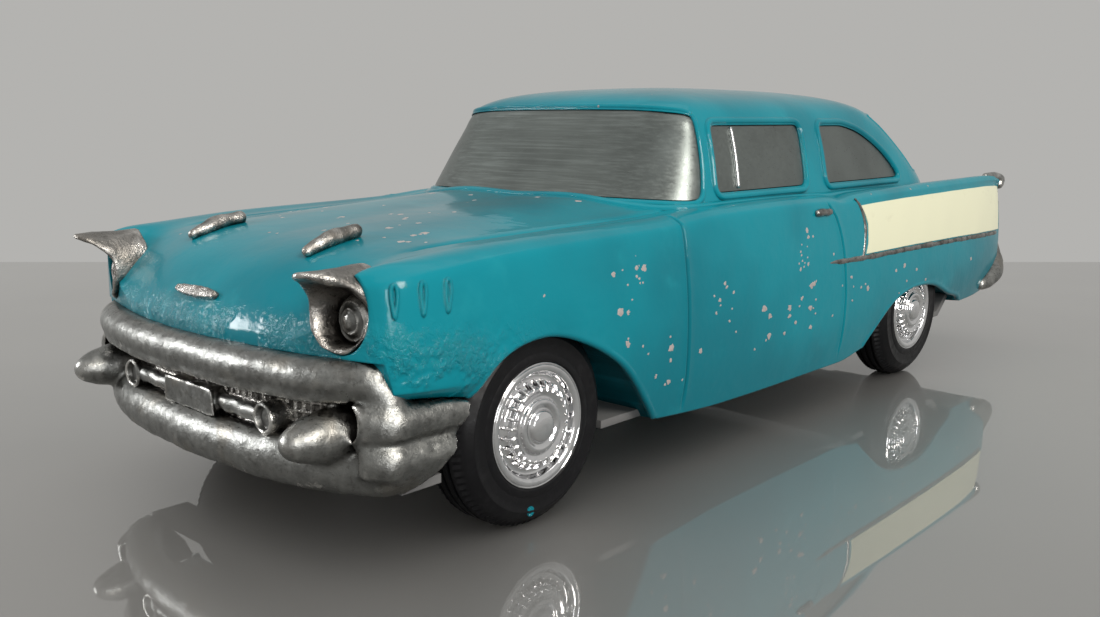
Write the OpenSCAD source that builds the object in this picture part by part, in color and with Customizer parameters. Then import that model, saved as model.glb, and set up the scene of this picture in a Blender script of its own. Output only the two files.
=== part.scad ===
// Diecast collector car, a two-door sedan with tail fins, at about 1:25 scale.
// Millimetres. +Z up, the nose faces -Y, the car's left side is +X.
// The origin is on the ground, midway between the nose and the tail.

/* [Overall] */
// Length from the bumper bullets to the rear bumper
body_len = 203; // [170:1:250]
// Width across the doors
body_w = 75; // [66:1:92]
// Height of the body above the axle line, up to the roof
roof_rise = 46.2; // [40:0.1:56]
// Distance between the axles
wheelbase = 116.8; // [98:0.1:140]
// Distance from the nose to the front axle
front_overhang = 34.8; // [34:0.1:40]

/* [Shell] */
// Wall thickness of the body casting
wall = 1.8; // [1.2:0.1:2.4]
// Gap around each insert and trim piece
fit_gap = 0.12; // [0.05:0.01:0.3]
// Depth that surface trim is let into the casting
trim_sink = 0.3; // [0.2:0.05:0.5]
// Diameter of each screw post
post_d = 6; // [5:0.1:8]

/* [Wheels] */
// Tyre outside diameter
tyre_d = 28.4; // [23:0.1:34]
// Tyre width
tyre_w = 8.6; // [7:0.1:10.4]
// Wheel seat diameter inside the tyre
seat_d = 17.2; // [14:0.1:20]
// Step from the door skin in to the tyre's outer face
wheel_inset = 2.4; // [2.2:0.1:4]
// Axle rod diameter
axle_d = 2.4; // [1.6:0.1:3.2]
// Radial running clearance of the axle in its brackets
axle_gap = 0.06; // [0.02:0.01:0.1]
// Clearance between the tyre and the fixed parts around it
tyre_gap = 1.3; // [1:0.1:2]

/* [Base plate] */
// Sheet thickness
plate_t = 1.2; // [0.8:0.1:2]
// Width of each axle bracket
bracket_w = 2.4; // [1.6:0.1:4]
// Base screw thread diameter
screw_d = 2.2; // [1.6:0.1:3]
// Base screw head diameter
screw_head_d = 4.2; // [3.4:0.1:5]
// Radius of the two display stand holes
stand_hole_r = 1.5; // [1:0.1:2]
// Distance between the two display stand holes
stand_pitch = 60; // [40:1:70]

/* [Hidden] */
teal = "darkcyan";
cream = "beige";
bare = "silver";
black = "dimgray";

// The curve tables below are drawn on a car of this size and scaled to the sizes above.
ref_len = 203;
ref_w = 75;
ref_axle_z = 14.2;
ref_rise = 46.2;
tyre_r = tyre_d / 2;
axle_r = axle_d / 2;
seat_r = seat_d / 2;
kx = body_w / ref_w;
ky = body_len / ref_len;
kz = roof_rise / ref_rise;
// Row-frame coordinates of a table's station, half width and height.
function Y(d) = (d - ref_len / 2) * ky;
function X(x) = x * kx;
function Z(z) = tyre_r + (z - ref_axle_z) * kz;
front_y = -body_len / 2 + front_overhang;
rear_y = front_y + wheelbase;
axle_z = tyre_r;
wheel_x = body_w / 2 - wheel_inset;

// Curves along the car: [station behind the nose, value].
nose_d = 3.6;
tail_d = 199;
sill_z = [[3.6, 22.3], [9, 22.2], [21, 20.9], [36, 13], [60, 9.9], [78, 8.8], [95, 8.6], [117, 8.6],
    [130, 10.2], [170, 12.8], [184, 13.1], [199, 14.4]];
side_x = [[3.6, 34.2], [5, 35.2], [8, 36.1], [12, 36.7], [20, 37.1], [42, 37.5], [112, 37.5], [150, 37.4],
    [180, 37], [194, 36.2], [199, 35.6]];
crown_z = [[3.6, 36.6], [6, 37.3], [10, 37.9], [18, 38.4], [32, 39.2], [62, 39.9], [76, 40.8], [98, 41],
    [112, 40.7], [117, 40.2], [123, 40.6], [135, 40.9], [182, 41.2], [195, 40.9], [199, 40.2]];
crown_x = [[3.6, 30.4], [10, 31], [20, 31.8], [42, 32.5], [76, 33], [120, 33.4], [165, 34], [199, 34]];
seam_x = [[3.6, 23.5], [10, 24.6], [20, 26], [60, 28], [76, 29], [120, 29.5], [165, 30], [199, 30.4]];
seam_z = [[3.6, 29.3], [6, 32], [10, 35], [15, 37.3], [23, 38.4], [36, 38.9], [62, 39.7], [76, 40.7],
    [120, 40.4], [166, 39.6], [182, 38.2], [195, 36.6], [199, 35.6]];
hood_z = [[3.6, 28.4], [5, 30.6], [7, 33], [10, 35.6], [14, 37.4], [19, 38.6], [30, 39.7], [50, 40.9],
    [66, 41.7], [76, 41.8], [120, 41], [166, 40.4], [175, 39.6], [186, 37.6], [193, 35.4], [199, 31]];
side_mid_z = 24;
shoulder_drop = 2.4;
side_tuck = 1.6;
outer_stations = [3.6, 4.6, 6, 8, 10.5, 14, 18, 23, 29, 36, 45, 55, 65, 76, 88, 99, 108, 114, 118, 124,
    132, 148, 164, 175, 183, 189, 195, 199];
inner_stations = [3.6, 6, 10.5, 18, 29, 45, 65, 88, 114, 132, 164, 183, 199];

// The nose and the tail are bowed in plan: their corners lie back from the centre by these amounts,
// fading along the car.
nose_bow = 6.2;
bow_fade_d = 27;
tail_bow = 0.6;
bow_start_d = 188;
function bow(x, d) = nose_bow * pow(min(abs(x) / X(36), 1.05), 1.8)
    * pow(max(1 - max(d - nose_d, 0) / (bow_fade_d - nose_d), 0), 2)
    - tail_bow * pow(min(abs(x) / X(36), 1.05), 2) * pow(max(d - bow_start_d, 0) / (tail_d - bow_start_d), 2);

// Greenhouse rings: [z, half width, front, front corner x, front corner y, rear, rear corner x, rear corner y].
cabin = [[39.6, 31.6, 65.6, 19, 11, 173.6, 14, 16], [42, 31.1, 67, 19, 10.5, 171.4, 13, 16],
    [45.5, 30.1, 69.6, 17, 9.2, 168.4, 13, 16], [49, 28.9, 72.2, 15, 7.6, 164.6, 13, 16],
    [52.5, 27.5, 74.8, 13, 5.9, 160.4, 13, 16], [54.6, 26.5, 76.2, 11, 4.9, 157, 13, 16],
    [56.4, 25.2, 77.4, 9, 5, 153.4, 12.6, 16], [57.8, 23.1, 79.4, 8.8, 5.6, 149, 12, 16],
    [58.9, 19.8, 82.8, 8.4, 6.4, 142.4, 10.6, 15], [59.7, 15, 88.4, 7, 7, 134, 8.4, 13],
    [60.2, 8.4, 96.4, 4.4, 6, 125, 5, 9], [60.4, 3, 104, 1.6, 3, 116, 1.8, 4]];
dome_z = 56;

// Monotone cubic through a table of [x, value] pairs.
function knot(t, x, i = 0) = (i >= len(t) - 2 || x < t[i + 1][0]) ? i : knot(t, x, i + 1);
function chord(t, i) = (t[i + 1][1] - t[i][1]) / (t[i + 1][0] - t[i][0]);
function tangent(t, i) = i <= 0 ? chord(t, 0) : i >= len(t) - 1 ? chord(t, len(t) - 2)
    : chord(t, i - 1) * chord(t, i) <= 0 ? 0 : 2 / (1 / chord(t, i - 1) + 1 / chord(t, i));
function hermite(a, b, ma, mb, h, s) = a * (1 + 2 * s) * (1 - s) * (1 - s) + b * s * s * (3 - 2 * s)
    + h * (ma * s * (1 - s) * (1 - s) - mb * s * s * (1 - s));
function curve(t, x) = let (q = min(max(x, t[0][0]), t[len(t) - 1][0]), i = knot(t, q), h = t[i + 1][0] - t[i][0])
    hermite(t[i][1], t[i + 1][1], tangent(t, i), tangent(t, i + 1), h, (q - t[i][0]) / h);

// Catmull-Rom through points, n steps a span.
function spline_at(p, i, s) = let (a = p[max(i - 1, 0)], b = p[i], c = p[i + 1], d = p[min(i + 2, len(p) - 1)])
    0.5 * (2 * b + (c - a) * s + (2 * a - 5 * b + 4 * c - d) * s * s + (3 * b - a - 3 * c + d) * s * s * s);
function spline(p, n) = concat([for (i = [0:len(p) - 2], j = [0:n - 1]) spline_at(p, i, j / n)], [p[len(p) - 1]]);

// Right half of the lower body's section at a station, from the sill to the centreline, grown by off.
function half_keys(d, off) = let (xs = curve(side_x, d), zc = curve(crown_z, d), zs = zc - shoulder_drop,
        zr = curve(sill_z, d), xc = curve(crown_x, d), xe = curve(seam_x, d), zg = curve(hood_z, d))
    [[X(xs - side_tuck) + off, Z(zr) + min(off, 0)], [X(xs - 0.4) + off, Z(zr + 0.45 * (side_mid_z - zr))],
    [X(xs) + off, Z(side_mid_z)], [X(xs - 0.25) + off, Z((side_mid_z + zs) / 2)],
    [X(xs - 1.1) + off * 0.9, Z(zs) + off * 0.3], [X((xs + xc) / 2 + 0.1) + off * 0.6, Z(zc - 0.7) + off * 0.7],
    [X(xc) + off * 0.2, Z(zc) + off], [X(xe) + off * 0.1, Z(curve(seam_z, d)) + off],
    [X(xe / 2), Z(zg + 0.15) + off], [0, Z(zg) + off]];
function mirrored(h) = concat(h, [for (i = [len(h) - 2:-1:0]) [-h[i][0], h[i][1]]]);
function section(d, off, n) = mirrored(n == 1 ? half_keys(d, off) : spline(half_keys(d, off), n));
// Outside half width of the body's flank at a station and height of the table.
function flank_x(d, z) = let (xs = curve(side_x, d), zs = curve(crown_z, d) - shoulder_drop, zr = curve(sill_z, d),
        u = (z - side_mid_z) / (zs - side_mid_z), v = (side_mid_z - z) / (side_mid_z - zr))
    X(z > side_mid_z ? xs - 1.1 * pow(max(u, 0), 2) : xs - side_tuck * pow(max(v, 0), 2.4));

// Right half of a greenhouse ring at a height of the table, from the front centre to the rear centre.
function cabin_value(z, k) = curve([for (r = cabin) [r[0], r[k]]], z);
// The sides bow outward by this much between the corners.
side_bulge = 0.5;
function cabin_side_x(d, z) = let (f = cabin_value(z, 2) + cabin_value(z, 4), r = cabin_value(z, 5) - cabin_value(z, 7),
        t = min(max((d - f) / (r - f), 0), 1)) X(cabin_value(z, 1) + side_bulge * 4 * t * (1 - t));
corner_steps = 5;
side_steps = 4;
end_bow = 0.6;
function half_ring(z, off, c = corner_steps, m = side_steps) = let (w = X(cabin_value(z, 1)) + off,
        f = Y(cabin_value(z, 2)) - off, fx = X(cabin_value(z, 3)), fy = cabin_value(z, 4) * ky,
        r = Y(cabin_value(z, 5)) + off, rx = X(cabin_value(z, 6)), ry = cabin_value(z, 7) * ky)
    concat([for (i = [0:2]) [(w - fx) * i / 3, f - end_bow * (1 - i * i / 9)]],
    [for (i = [0:c]) let (a = 90 * i / c) [w - fx + fx * sin(a), f + fy * (1 - cos(a))]],
    [for (i = [1:m - 1]) [w + X(side_bulge * 4 * (i / m) * (1 - i / m)), f + fy + (r - ry - f - fy) * i / m]],
    [for (i = [0:c]) let (a = 90 * i / c) [w - rx + rx * cos(a), r - ry + ry * sin(a)]],
    [for (i = [2:-1:0]) [(w - rx) * i / 3, r + end_bow * (1 - i * i / 9)]]);

// A closed solid through rings of points. cap lists a ring's triangles, facing back along the rings.
module skin(rings, cap) {
    n = len(rings[0]);
    m = len(rings);
    polyhedron(points = [for (r = rings) each r], convexity = 10, faces = concat(
        [for (i = [0:m - 2], j = [0:n - 1]) let (a = i * n, k = (j + 1) % n)
            each [[a + j, a + k, a + n + j], [a + k, a + n + k, a + n + j]]],
        [for (t = cap) [t[2], t[1], t[0]]], [for (t = cap) [for (v = t) (m - 1) * n + v]]));
}
// Cap of an even, convex ring of n points whose first and middle points are on its axis.
function oval_cap(n) = concat([[0, 1, n - 1]], [for (j = [1:n / 2 - 2]) each [[j, j + 1, n - 1 - j],
    [j, n - 1 - j, n - j]]], [[n / 2 - 1, n / 2, n / 2 + 1]]);
// A closed sheet between two grids of the same shape, joined round the edge. Rows climb, and columns run
// rearward on the left side, so that the first grid faces outward.
module sheet(outer, inner) {
    m = len(outer);
    n = len(outer[0]);
    c = m * n;
    rim = concat([for (j = [0:n - 1]) j], [for (i = [1:m - 1]) i * n + n - 1],
        [for (j = [n - 2:-1:0]) (m - 1) * n + j], [for (i = [m - 2:-1:1]) i * n]);
    polyhedron(points = concat([for (r = outer) each r], [for (r = inner) each r]), convexity = 6, faces = concat(
        [for (i = [0:m - 2], j = [0:n - 2]) let (a = i * n + j)
            each [[a, a + n, a + 1], [a + 1, a + n, a + n + 1]]],
        [for (i = [0:m - 2], j = [0:n - 2]) let (a = c + i * n + j)
            each [[a, a + 1, a + n], [a + 1, a + n + 1, a + n]]],
        [for (k = [0:len(rim) - 1]) let (p = rim[k], q = rim[(k + 1) % len(rim)])
            each [[p, q, c + p], [q, c + q, c + p]]]));
}
module both_sides() {
    children();
    mirror([1, 0, 0]) children();
}

// The lower body as a closed solid, grown by off, with n steps between the keys of a section. Its cambered floor
// has a point below each one from the crown inward, and lies at floor_z or, when that is undef, at the sill.
floor_camber = 1.2;
function floor_ring(ring, n, z) = concat(ring, [for (k = [12 * n:-1:6 * n]) let (t = ring[k][0] / X(36))
    [ring[k][0], z - floor_camber * (1 - t * t)]]);
function under(k, n) = 30 * n + 1 - k;
function right_cap(n) = concat([[6 * n, under(6 * n, n), 0]], [for (j = [0:6 * n - 2]) [6 * n, j, j + 1]],
    [for (k = [6 * n:9 * n - 1]) each [[under(k + 1, n), under(k, n), k], [under(k + 1, n), k, k + 1]]]);
function other_side(v, n) = v <= 18 * n ? 18 * n - v : 42 * n + 2 - v;
function section_cap(n) = concat(right_cap(n),
    [for (t = right_cap(n)) [other_side(t[2], n), other_side(t[1], n), other_side(t[0], n)]]);
module lower_solid(stations, off, n, floor_z = undef) {
    lo = nose_d - off / ky;
    hi = tail_d + off / ky;
    skin([for (d = stations) let (q = min(max(d, lo), hi), r = section(q, off, n), y = Y(d == nose_d ? lo : q))
        [for (p = floor_ring(r, n, is_undef(floor_z) ? r[0][1] : floor_z)) [p[0], y + bow(p[0], q) * ky, p[1]]]],
        section_cap(n));
}
module cabin_solid(heights, off, floor_z, c, m) {
    rings = concat([for (i = [len(heights) - 1:-1:0]) let (z = heights[i])
            [for (p = half_ring(z, off, c, m)) [p[0], p[1], Z(z) + (z > dome_z ? off : 0)]]],
        [[for (p = half_ring(cabin[0][0], off, c, m)) [p[0], p[1], Z(floor_z)]]]);
    full = [for (r = rings) concat(r, [for (i = [len(r) - 2:-1:1]) [-r[i][0], r[i][1], r[i][2]]])];
    skin(full, oval_cap(len(full[0])));
}
outer_heights = [for (r = cabin) r[0]];
inner_heights = [39.6, 45.5, 52.5, 56.4, 58.9, 59.7];

// Wheel openings, as outlines about the axle in tyre radii, forward first.
front_arch = [[-1.05, -0.9], [-1.03, -0.25], [-0.99, 0.42], [-0.6, 0.8], [-0.06, 0.915], [0.48, 0.78],
    [1.06, 0.46], [1.5, 0.0], [1.84, -0.45], [1.9, -0.9]];
rear_arch = [[-1.95, -0.9], [-1.8, -0.4], [-1.42, -0.02], [-0.98, 0.27], [-0.5, 0.4], [0, 0.42],
    [0.5, 0.36], [1.1, 0.16], [1.75, -0.08], [1.9, -0.9]];
module arch_outline(pts) {
    polygon([for (p = spline(pts, 3)) [p[0] * tyre_r, p[1] * tyre_r]]);
}
module arch_cut(pts, y) {
    translate([-body_w, y, axle_z]) rotate([90, 0, 90]) linear_extrude(2 * body_w) arch_outline(pts);
}

// Side window outlines: [height, front station, rear station].
window_chamfer = 0.8;
door_glass = [[42.6, 81.9, 109.8], [48, 83.2, 111.2], [53.3, 84.5, 112.6]];
quarter_glass = [[42.6, 118.1, 149.4], [45, 118.6, 147.3], [47.6, 119.2, 144.2], [50.4, 119.8, 139.4],
    [52.2, 120.2, 134.6], [53.1, 120.4, 129.6]];
function glass_rows(t) = let (z0 = t[0][0], z1 = t[len(t) - 1][0])
    [for (z = [z0, z0 + window_chamfer, each [for (i = [1:len(t) - 2]) t[i][0]], z1 - window_chamfer, z1])
        let (c = z == z0 || z == z1 ? window_chamfer : 0)
        [z, curve([for (r = t) [r[0], r[1]]], z) + c, curve([for (r = t) [r[0], r[2]]], z) - c]];
function glass_outline(rows) = concat([for (r = rows) [Y(r[1]), Z(r[0])]],
    [for (i = [len(rows) - 1:-1:0]) [Y(rows[i][2]), Z(rows[i][0])]]);
module side_cut(t) {
    translate([X(20), 0, 0]) rotate([90, 0, 90]) linear_extrude(body_w) offset(delta = fit_gap)
        polygon(glass_outline(glass_rows(t)));
}
function side_grid(t, off) = [for (r = glass_rows(t)) [for (j = [0:4])
    let (d = r[1] + (r[2] - r[1]) * j / 4) [cabin_side_x(d, r[0]) + off, Y(d), Z(r[0])]]];

// Windscreen and rear window: columns of greenhouse points, each between its own two heights.
screen_last = 3 + corner_steps;
screen_rows = 5;
function screen_low(t) = 42.1 - 0.8 * pow(abs(t), 2.4) + 1.1 * pow(abs(t), 24);
function screen_high(t) = 56.1 - 1.2 * pow(abs(t), 2.2) - 1.0 * pow(abs(t), 24);
function screen_grid(off, g) = [for (i = [0:screen_rows]) [for (j = [-screen_last:screen_last])
    let (t = j / screen_last, z0 = screen_low(t) + g, z1 = screen_high(t) - g, z = z0 + (z1 - z0) * i / screen_rows,
        p = half_ring(z, off)[abs(j)]) [sign(j) * p[0], p[1], Z(z)]]];
rear_rows = 4;
rear_last = 3 + corner_steps - 1;
function rear_grid(off, g) = [for (i = [0:rear_rows]) [for (j = [rear_last:-1:-rear_last])
    let (t = j / rear_last, z0 = 43.2 + 0.7 * t * t + g, z1 = 55.4 - 1.4 * pow(abs(t), 2.5) - g,
        z = z0 + (z1 - z0) * i / rear_rows, h = half_ring(z, off), p = h[len(h) - 1 - abs(j)])
    [sign(j) * p[0], p[1], Z(z)]]];
// Moves a grid's two end columns in by g.
function unit(v) = v / norm(v);
function trimmed(grid, g) = [for (r = grid) [for (j = [0:len(r) - 1])
    j == 0 ? r[0] + unit(r[1] - r[0]) * g : j == len(r) - 1 ? r[j] + unit(r[j - 1] - r[j]) * g : r[j]]];
cut_out = 1.5;

// Three teardrop vents behind each headlight, at these stations.
louvre_spots = [6.6, 11.9, 16.8];
louvre_r = 0.45;
louvre_z = [32.9, 35.2];
module louvre(d) {
    hull() for (z = louvre_z) let (x = flank_x(d, z))
        translate([x - 0.1, Y(d) + bow(x, d) * ky, Z(z)]) sphere(r = louvre_r, $fn = 10);
}
// Screw posts widen upward into the underside of the casting.
post_spots = [[13, 64], [13, 183]];
post_draft = 0.6;
module screw_posts() {
    for (s = [-1, 1], p = post_spots) let (z0 = plate_z(p[1]) + plate_t, h = Z(curve(hood_z, p[1])) - wall / 2 - z0)
        translate([s * X(p[0]), Y(p[1]), z0]) hull() {
            cylinder(d = post_d, h = 0.1, $fn = 24);
            translate([0, 0, h - 0.1]) cylinder(d = post_d + post_draft, h = 0.1, $fn = 24);
        }
}
// The tail is cut up to the bumper along these points: [station, height].
tail_line = [[188, 12.6], [193.4, 13.9], [203, 17.6]];
module tail_cut() {
    translate([-body_w, 0, 0]) rotate([90, 0, 90]) linear_extrude(2 * body_w)
        polygon(concat([[Y(203), -1], [Y(188), -1]], [for (p = tail_line) [Y(p[0]), Z(p[1])]]));
}
lip_z = 26.9;
module mouth_cut() {
    translate([-body_w, 0, 0]) rotate([90, 0, 90]) linear_extrude(2 * body_w)
        polygon([[Y(-2), -1], [Y(-2), Z(lip_z)], [Y(9.6), Z(lip_z)], [Y(10.6), Z(22)], [Y(10.6), -1]]);
}

module body_shell() {
    color(teal) difference() {
        union() {
            difference() {
                union() {
                    lower_solid(outer_stations, 0, 2);
                    cabin_solid(outer_heights, 0, 36, corner_steps, side_steps);
                    both_sides() for (d = louvre_spots) louvre(d);
                }
                lower_solid(inner_stations, -wall, 1, -5);
                cabin_solid(inner_heights, -wall, 30, 3, 2);
            }
            screw_posts();
        }
        mouth_cut();
        tail_cut();
        arch_cut(front_arch, front_y);
        arch_cut(rear_arch, rear_y);
        both_sides() side_cut(door_glass);
        both_sides() side_cut(quarter_glass);
        sheet(screen_grid(cut_out, 0), screen_grid(-wall - cut_out, 0));
        sheet(rear_grid(cut_out, 0), rear_grid(-wall - cut_out, 0));
        both_sides() pod_solid(-pod_bite, Y(-4), Y(pod_back_d));
        for (s = [-1, 1], p = post_spots) translate([s * X(p[0]), Y(p[1]), 0]) cylinder(d = screw_d, h = Z(26), $fn = 20);
    }
}

// Base plate: a bent strip between the sills, stepped up behind the rear wheels.
plate_low = 9.8;
plate_high = 14.6;
plate_front_d = 13;
plate_step_d = 171;
plate_rear_d = 195;
function plate_z(d) = d < plate_step_d ? Z(plate_low) : Z(plate_high);
plate_half_w = body_w / 2 - X(side_tuck) - wall - 1.2;
notch_in = wheel_x - tyre_w - tyre_gap;
bracket_x = notch_in - bracket_w - 0.8;
module plate_profile() {
    polygon([[Y(plate_front_d), Z(plate_low)], [Y(plate_step_d), Z(plate_low)],
        [Y(plate_step_d + 6), Z(plate_high)], [Y(plate_rear_d), Z(plate_high)],
        [Y(plate_rear_d), Z(plate_high) + plate_t], [Y(plate_step_d + 5.5), Z(plate_high) + plate_t],
        [Y(plate_step_d - 0.5), Z(plate_low) + plate_t], [Y(plate_front_d), Z(plate_low) + plate_t]]);
}
module wheel_notch(y) {
    r = tyre_r + tyre_gap;
    both_sides() translate([notch_in, y - r, -1]) cube([body_w, 2 * r, body_w]);
}
module bracket(y) {
    difference() {
        union() {
            translate([bracket_x, y - 3.4, Z(plate_low) + plate_t / 2])
                cube([bracket_w, 6.8, axle_z - Z(plate_low) - plate_t / 2]);
            translate([bracket_x, y, axle_z]) rotate([0, 90, 0]) cylinder(r = 3.4, h = bracket_w, $fn = 32);
        }
        translate([bracket_x - 1, y, axle_z]) rotate([0, 90, 0]) cylinder(r = axle_r + axle_gap, h = bracket_w + 2, $fn = 32);
    }
}
stand_boss_h = 4;
module stand_spots() {
    for (s = [-1, 1]) translate([0, s * stand_pitch / 2, Z(plate_low)]) children();
}
module base_plate() {
    head_h = (screw_head_d - screw_d) / 2;
    color(black) difference() {
        union() {
            difference() {
                translate([-plate_half_w, 0, 0]) rotate([90, 0, 90]) linear_extrude(2 * plate_half_w) plate_profile();
                wheel_notch(front_y);
                wheel_notch(rear_y);
            }
            both_sides() bracket(front_y);
            both_sides() bracket(rear_y);
            stand_spots() cylinder(r = stand_hole_r + 2, h = stand_boss_h, $fn = 32);
        }
        stand_spots() translate([0, 0, -1]) cylinder(r = stand_hole_r, h = stand_boss_h + 2, $fn = 32);
        for (s = [-1, 1], p = post_spots) translate([s * X(p[0]), Y(p[1]), plate_z(p[1])]) {
            translate([0, 0, -1]) cylinder(r = screw_d / 2 + fit_gap, h = plate_t + 2, $fn = 24);
            translate([0, 0, -0.01]) cylinder(r1 = screw_head_d / 2 + fit_gap, r2 = screw_d / 2 + fit_gap, h = head_h, $fn = 24);
        }
    }
}
screw_len = 8;
module base_screws() {
    head_h = (screw_head_d - screw_d) / 2;
    color(bare) for (s = [-1, 1], p = post_spots) translate([s * X(p[0]), Y(p[1]), plate_z(p[1]) + 0.05]) difference() {
        union() {
            cylinder(r1 = screw_head_d / 2, r2 = screw_d / 2 - 0.02, h = head_h, $fn = 24);
            cylinder(r = screw_d / 2 - 0.02, h = screw_len, $fn = 24);
        }
        translate([-screw_head_d / 2, -0.25, -0.1]) cube([screw_head_d, 0.5, 0.6]);
    }
}

// Front bumper: each bar follows a curve in plan, [half width, station of the front face].
upper_plan = [[0, 0.9], [12, 1.4], [22, 3], [28, 5], [31.4, 7.4]];
lower_plan = [[0, 1.6], [12, 2.2], [22, 4], [28.6, 6.4], [32.2, 8.8]];
bar_r = 2.6;
upper_z = 24.4;
lower_z = 13.3;
bullet_z = 17.6;
module bar(plan, z, squash) {
    for (i = [0:len(plan) - 2]) hull() for (k = [i, i + 1])
        translate([X(plan[k][0]), Y(plan[k][1]) + bar_r, Z(z)]) scale([1, 1, squash]) sphere(r = bar_r, $fn = 14);
}
module bullet() {
    hull() {
        translate([X(27), Y(0) + 1.7, Z(bullet_z)]) sphere(r = 1.7, $fn = 16);
        translate([X(27.6), Y(8.6), Z(bullet_z)]) sphere(r = 3.6, $fn = 16);
    }
}
// Wing of the bumper under each headlight: rows of [height, proud of the body corner, rear station].
wing_rows = [[22, -1.2, 20.6], [21.2, -0.1, 21.4], [20, 0.5, 20.9], [18.4, 0.4, 20.2], [17.4, -0.5, 19.6],
    [16.4, 0.2, 18.9], [15, 0.6, 18], [13.6, 0.1, 16.8], [12, -1, 15.2], [10.3, -2.6, 12.4]];
wing_front = 7;
wing_t = 1.6;
function wing_grid(off) = [for (i = [len(wing_rows) - 1:-1:0]) let (r = wing_rows[i]) [for (j = [0:4])
    let (d = wing_front + (r[2] - wing_front) * j / 4, z = min(r[0], curve(sill_z, d) - 0.1))
    [X(36.2 + r[1] + 0.6 * j / 4) + off, Y(d), Z(z)]]];
// Balls down each bumper corner: half width, station, height, radius.
corner_balls = [[31.4, 10, 24.2, 2.6], [33, 11, 21.6, 2.5], [33.2, 11, 17.6, 2.6], [32.4, 11, 13.4, 2.8]];
module ball(q) {
    translate([X(q[0]), Y(q[1]), Z(q[2])]) sphere(r = q[3], $fn = 14);
}
module ball_chain(list) {
    for (i = [0:len(list) - 2]) hull() for (k = [i, i + 1]) ball(list[k]);
}
module front_bumper() {
    color(bare) union() both_sides() {
        bar(upper_plan, upper_z, 1);
        bar(lower_plan, lower_z, 1.25);
        bullet();
        ball_chain(corner_balls);
        sheet(wing_grid(0), wing_grid(-wing_t));
    }
}
// Grille insert: a curved sheet let into the backs of both bars.
grille_half_w = 27;
grille_t = 1;
function grille_y(x) = Y(curve(upper_plan, x)) + 2 * bar_r - trim_sink;
function grille_grid(off) = [for (z = [lower_z, 16, 19, 22, upper_z]) [for (j = [-6:6])
    let (x = abs(j) * grille_half_w / 6) [sign(j) * X(x), grille_y(x) + off, Z(z)]]];
module grille_insert() {
    color(bare) sheet(grille_grid(0), grille_grid(grille_t));
}
lamp_x = 17.2;
lamp_r = 2.1;
lamp_front = 4;
bar_z = 18.2;
module grille_bar() {
    reach = X(lamp_x) - lamp_r - fit_gap;
    color(bare) union() {
        translate([-reach, Y(5.2), Z(bar_z)]) rotate([0, 90, 0]) cylinder(r = 1.15, h = 2 * reach, $fn = 24);
        translate([-X(6.4), Y(3.4), Z(bar_z) - 1.7]) cube([2 * X(6.4), grille_y(0) + trim_sink - Y(3.4), 3.4]);
    }
}
module parking_lamp() {
    translate([X(lamp_x), Y(lamp_front), Z(bar_z)]) rotate([-90, 0, 0]) difference() {
        cylinder(r = lamp_r, h = grille_y(lamp_x) + trim_sink - Y(lamp_front), $fn = 28);
        translate([0, 0, -0.1]) cylinder(r = lamp_r - 0.5, h = 0.7, $fn = 28);
    }
}

// Headlight pod: an oval casting in each wing's nose, hooded at the top, with the lens at the back.
pod_x = 28.8;
pod_z = 32.6;
pod_rx = 4;
pod_rz = 5.2;
pod_bite = 0.06;
lens_r = 3.1;
lens_seat_d = 10.2;
pod_back_d = 11.5;
pod_steps = 24;
function pod_oval(k, grow) = [for (i = [0:pod_steps - 1]) let (a = 90 + 360 * i / pod_steps)
    [X(pod_x) + (X(pod_rx) * k + grow) * cos(a), Z(pod_z) + (pod_rz * kz * k + grow) * sin(a), a]];
function rim_d(a) = 7.9 + 1.6 * cos(a) - (sin(a) > 0 ? 5.6 * pow(sin(a), 2.2) : -0.8 * sin(a));
module pod_solid(grow, front, back) {
    skin([for (y = [front, back]) [for (p = pod_oval(1, grow)) [p[0], y, p[1]]]], oval_cap(pod_steps));
}
module headlight_bezel() {
    back = [for (p = pod_oval(1, 0)) [p[0], Y(pod_back_d), p[1]]];
    rim = [for (p = pod_oval(1, 0)) [p[0], Y(rim_d(p[2]) + 0.5), p[1]]];
    edge = [for (p = pod_oval(0.93, 0)) [p[0], Y(rim_d(p[2])), p[1]]];
    lip = [for (p = pod_oval(0.8, 0)) [p[0], Y(rim_d(p[2]) + 0.5), p[1]]];
    seat = [for (i = [0:pod_steps - 1]) let (a = 90 + 360 * i / pod_steps)
        [X(pod_x) + lens_r * cos(a), Y(lens_seat_d), Z(pod_z - 1.4) + lens_r * sin(a)]];
    skin([seat, lip, edge, rim, back], oval_cap(pod_steps));
}
module headlight_lens() {
    translate([X(pod_x), Y(lens_seat_d), Z(pod_z - 1.4)]) rotate([90, 0, 0]) rotate_extrude($fn = 32)
        polygon([[0, 0], [lens_r - fit_gap, 0], [lens_r - fit_gap - 0.1, 0.5], [lens_r * 0.8, 0.9], [lens_r * 0.62, 0.7],
            [lens_r * 0.5, 1.1], [lens_r * 0.25, 1.5], [0, 1.6]]);
}
module hood_spear() {
    translate([X(14.4), Y(13.6), Z(curve(hood_z, 13.6)) + 0.55]) hull() {
        sphere(r = 0.8, $fn = 14);
        translate([0, 3.6, Z(38.9) - Z(37.6)]) sphere(r = 1.15, $fn = 14);
        translate([0, 7.4, Z(39.6) - Z(37.6)]) sphere(r = 1.05, $fn = 14);
    }
}
module hood_badge() {
    color(bare) translate([0, Y(5.9), Z(31.6) + 0.2]) rotate([-40, 0, 0]) hull() both_sides()
        translate([4.2, 0, 0]) rotate([90, 0, 0]) cylinder(r = 0.8, h = 0.7, $fn = 20);
}

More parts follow.
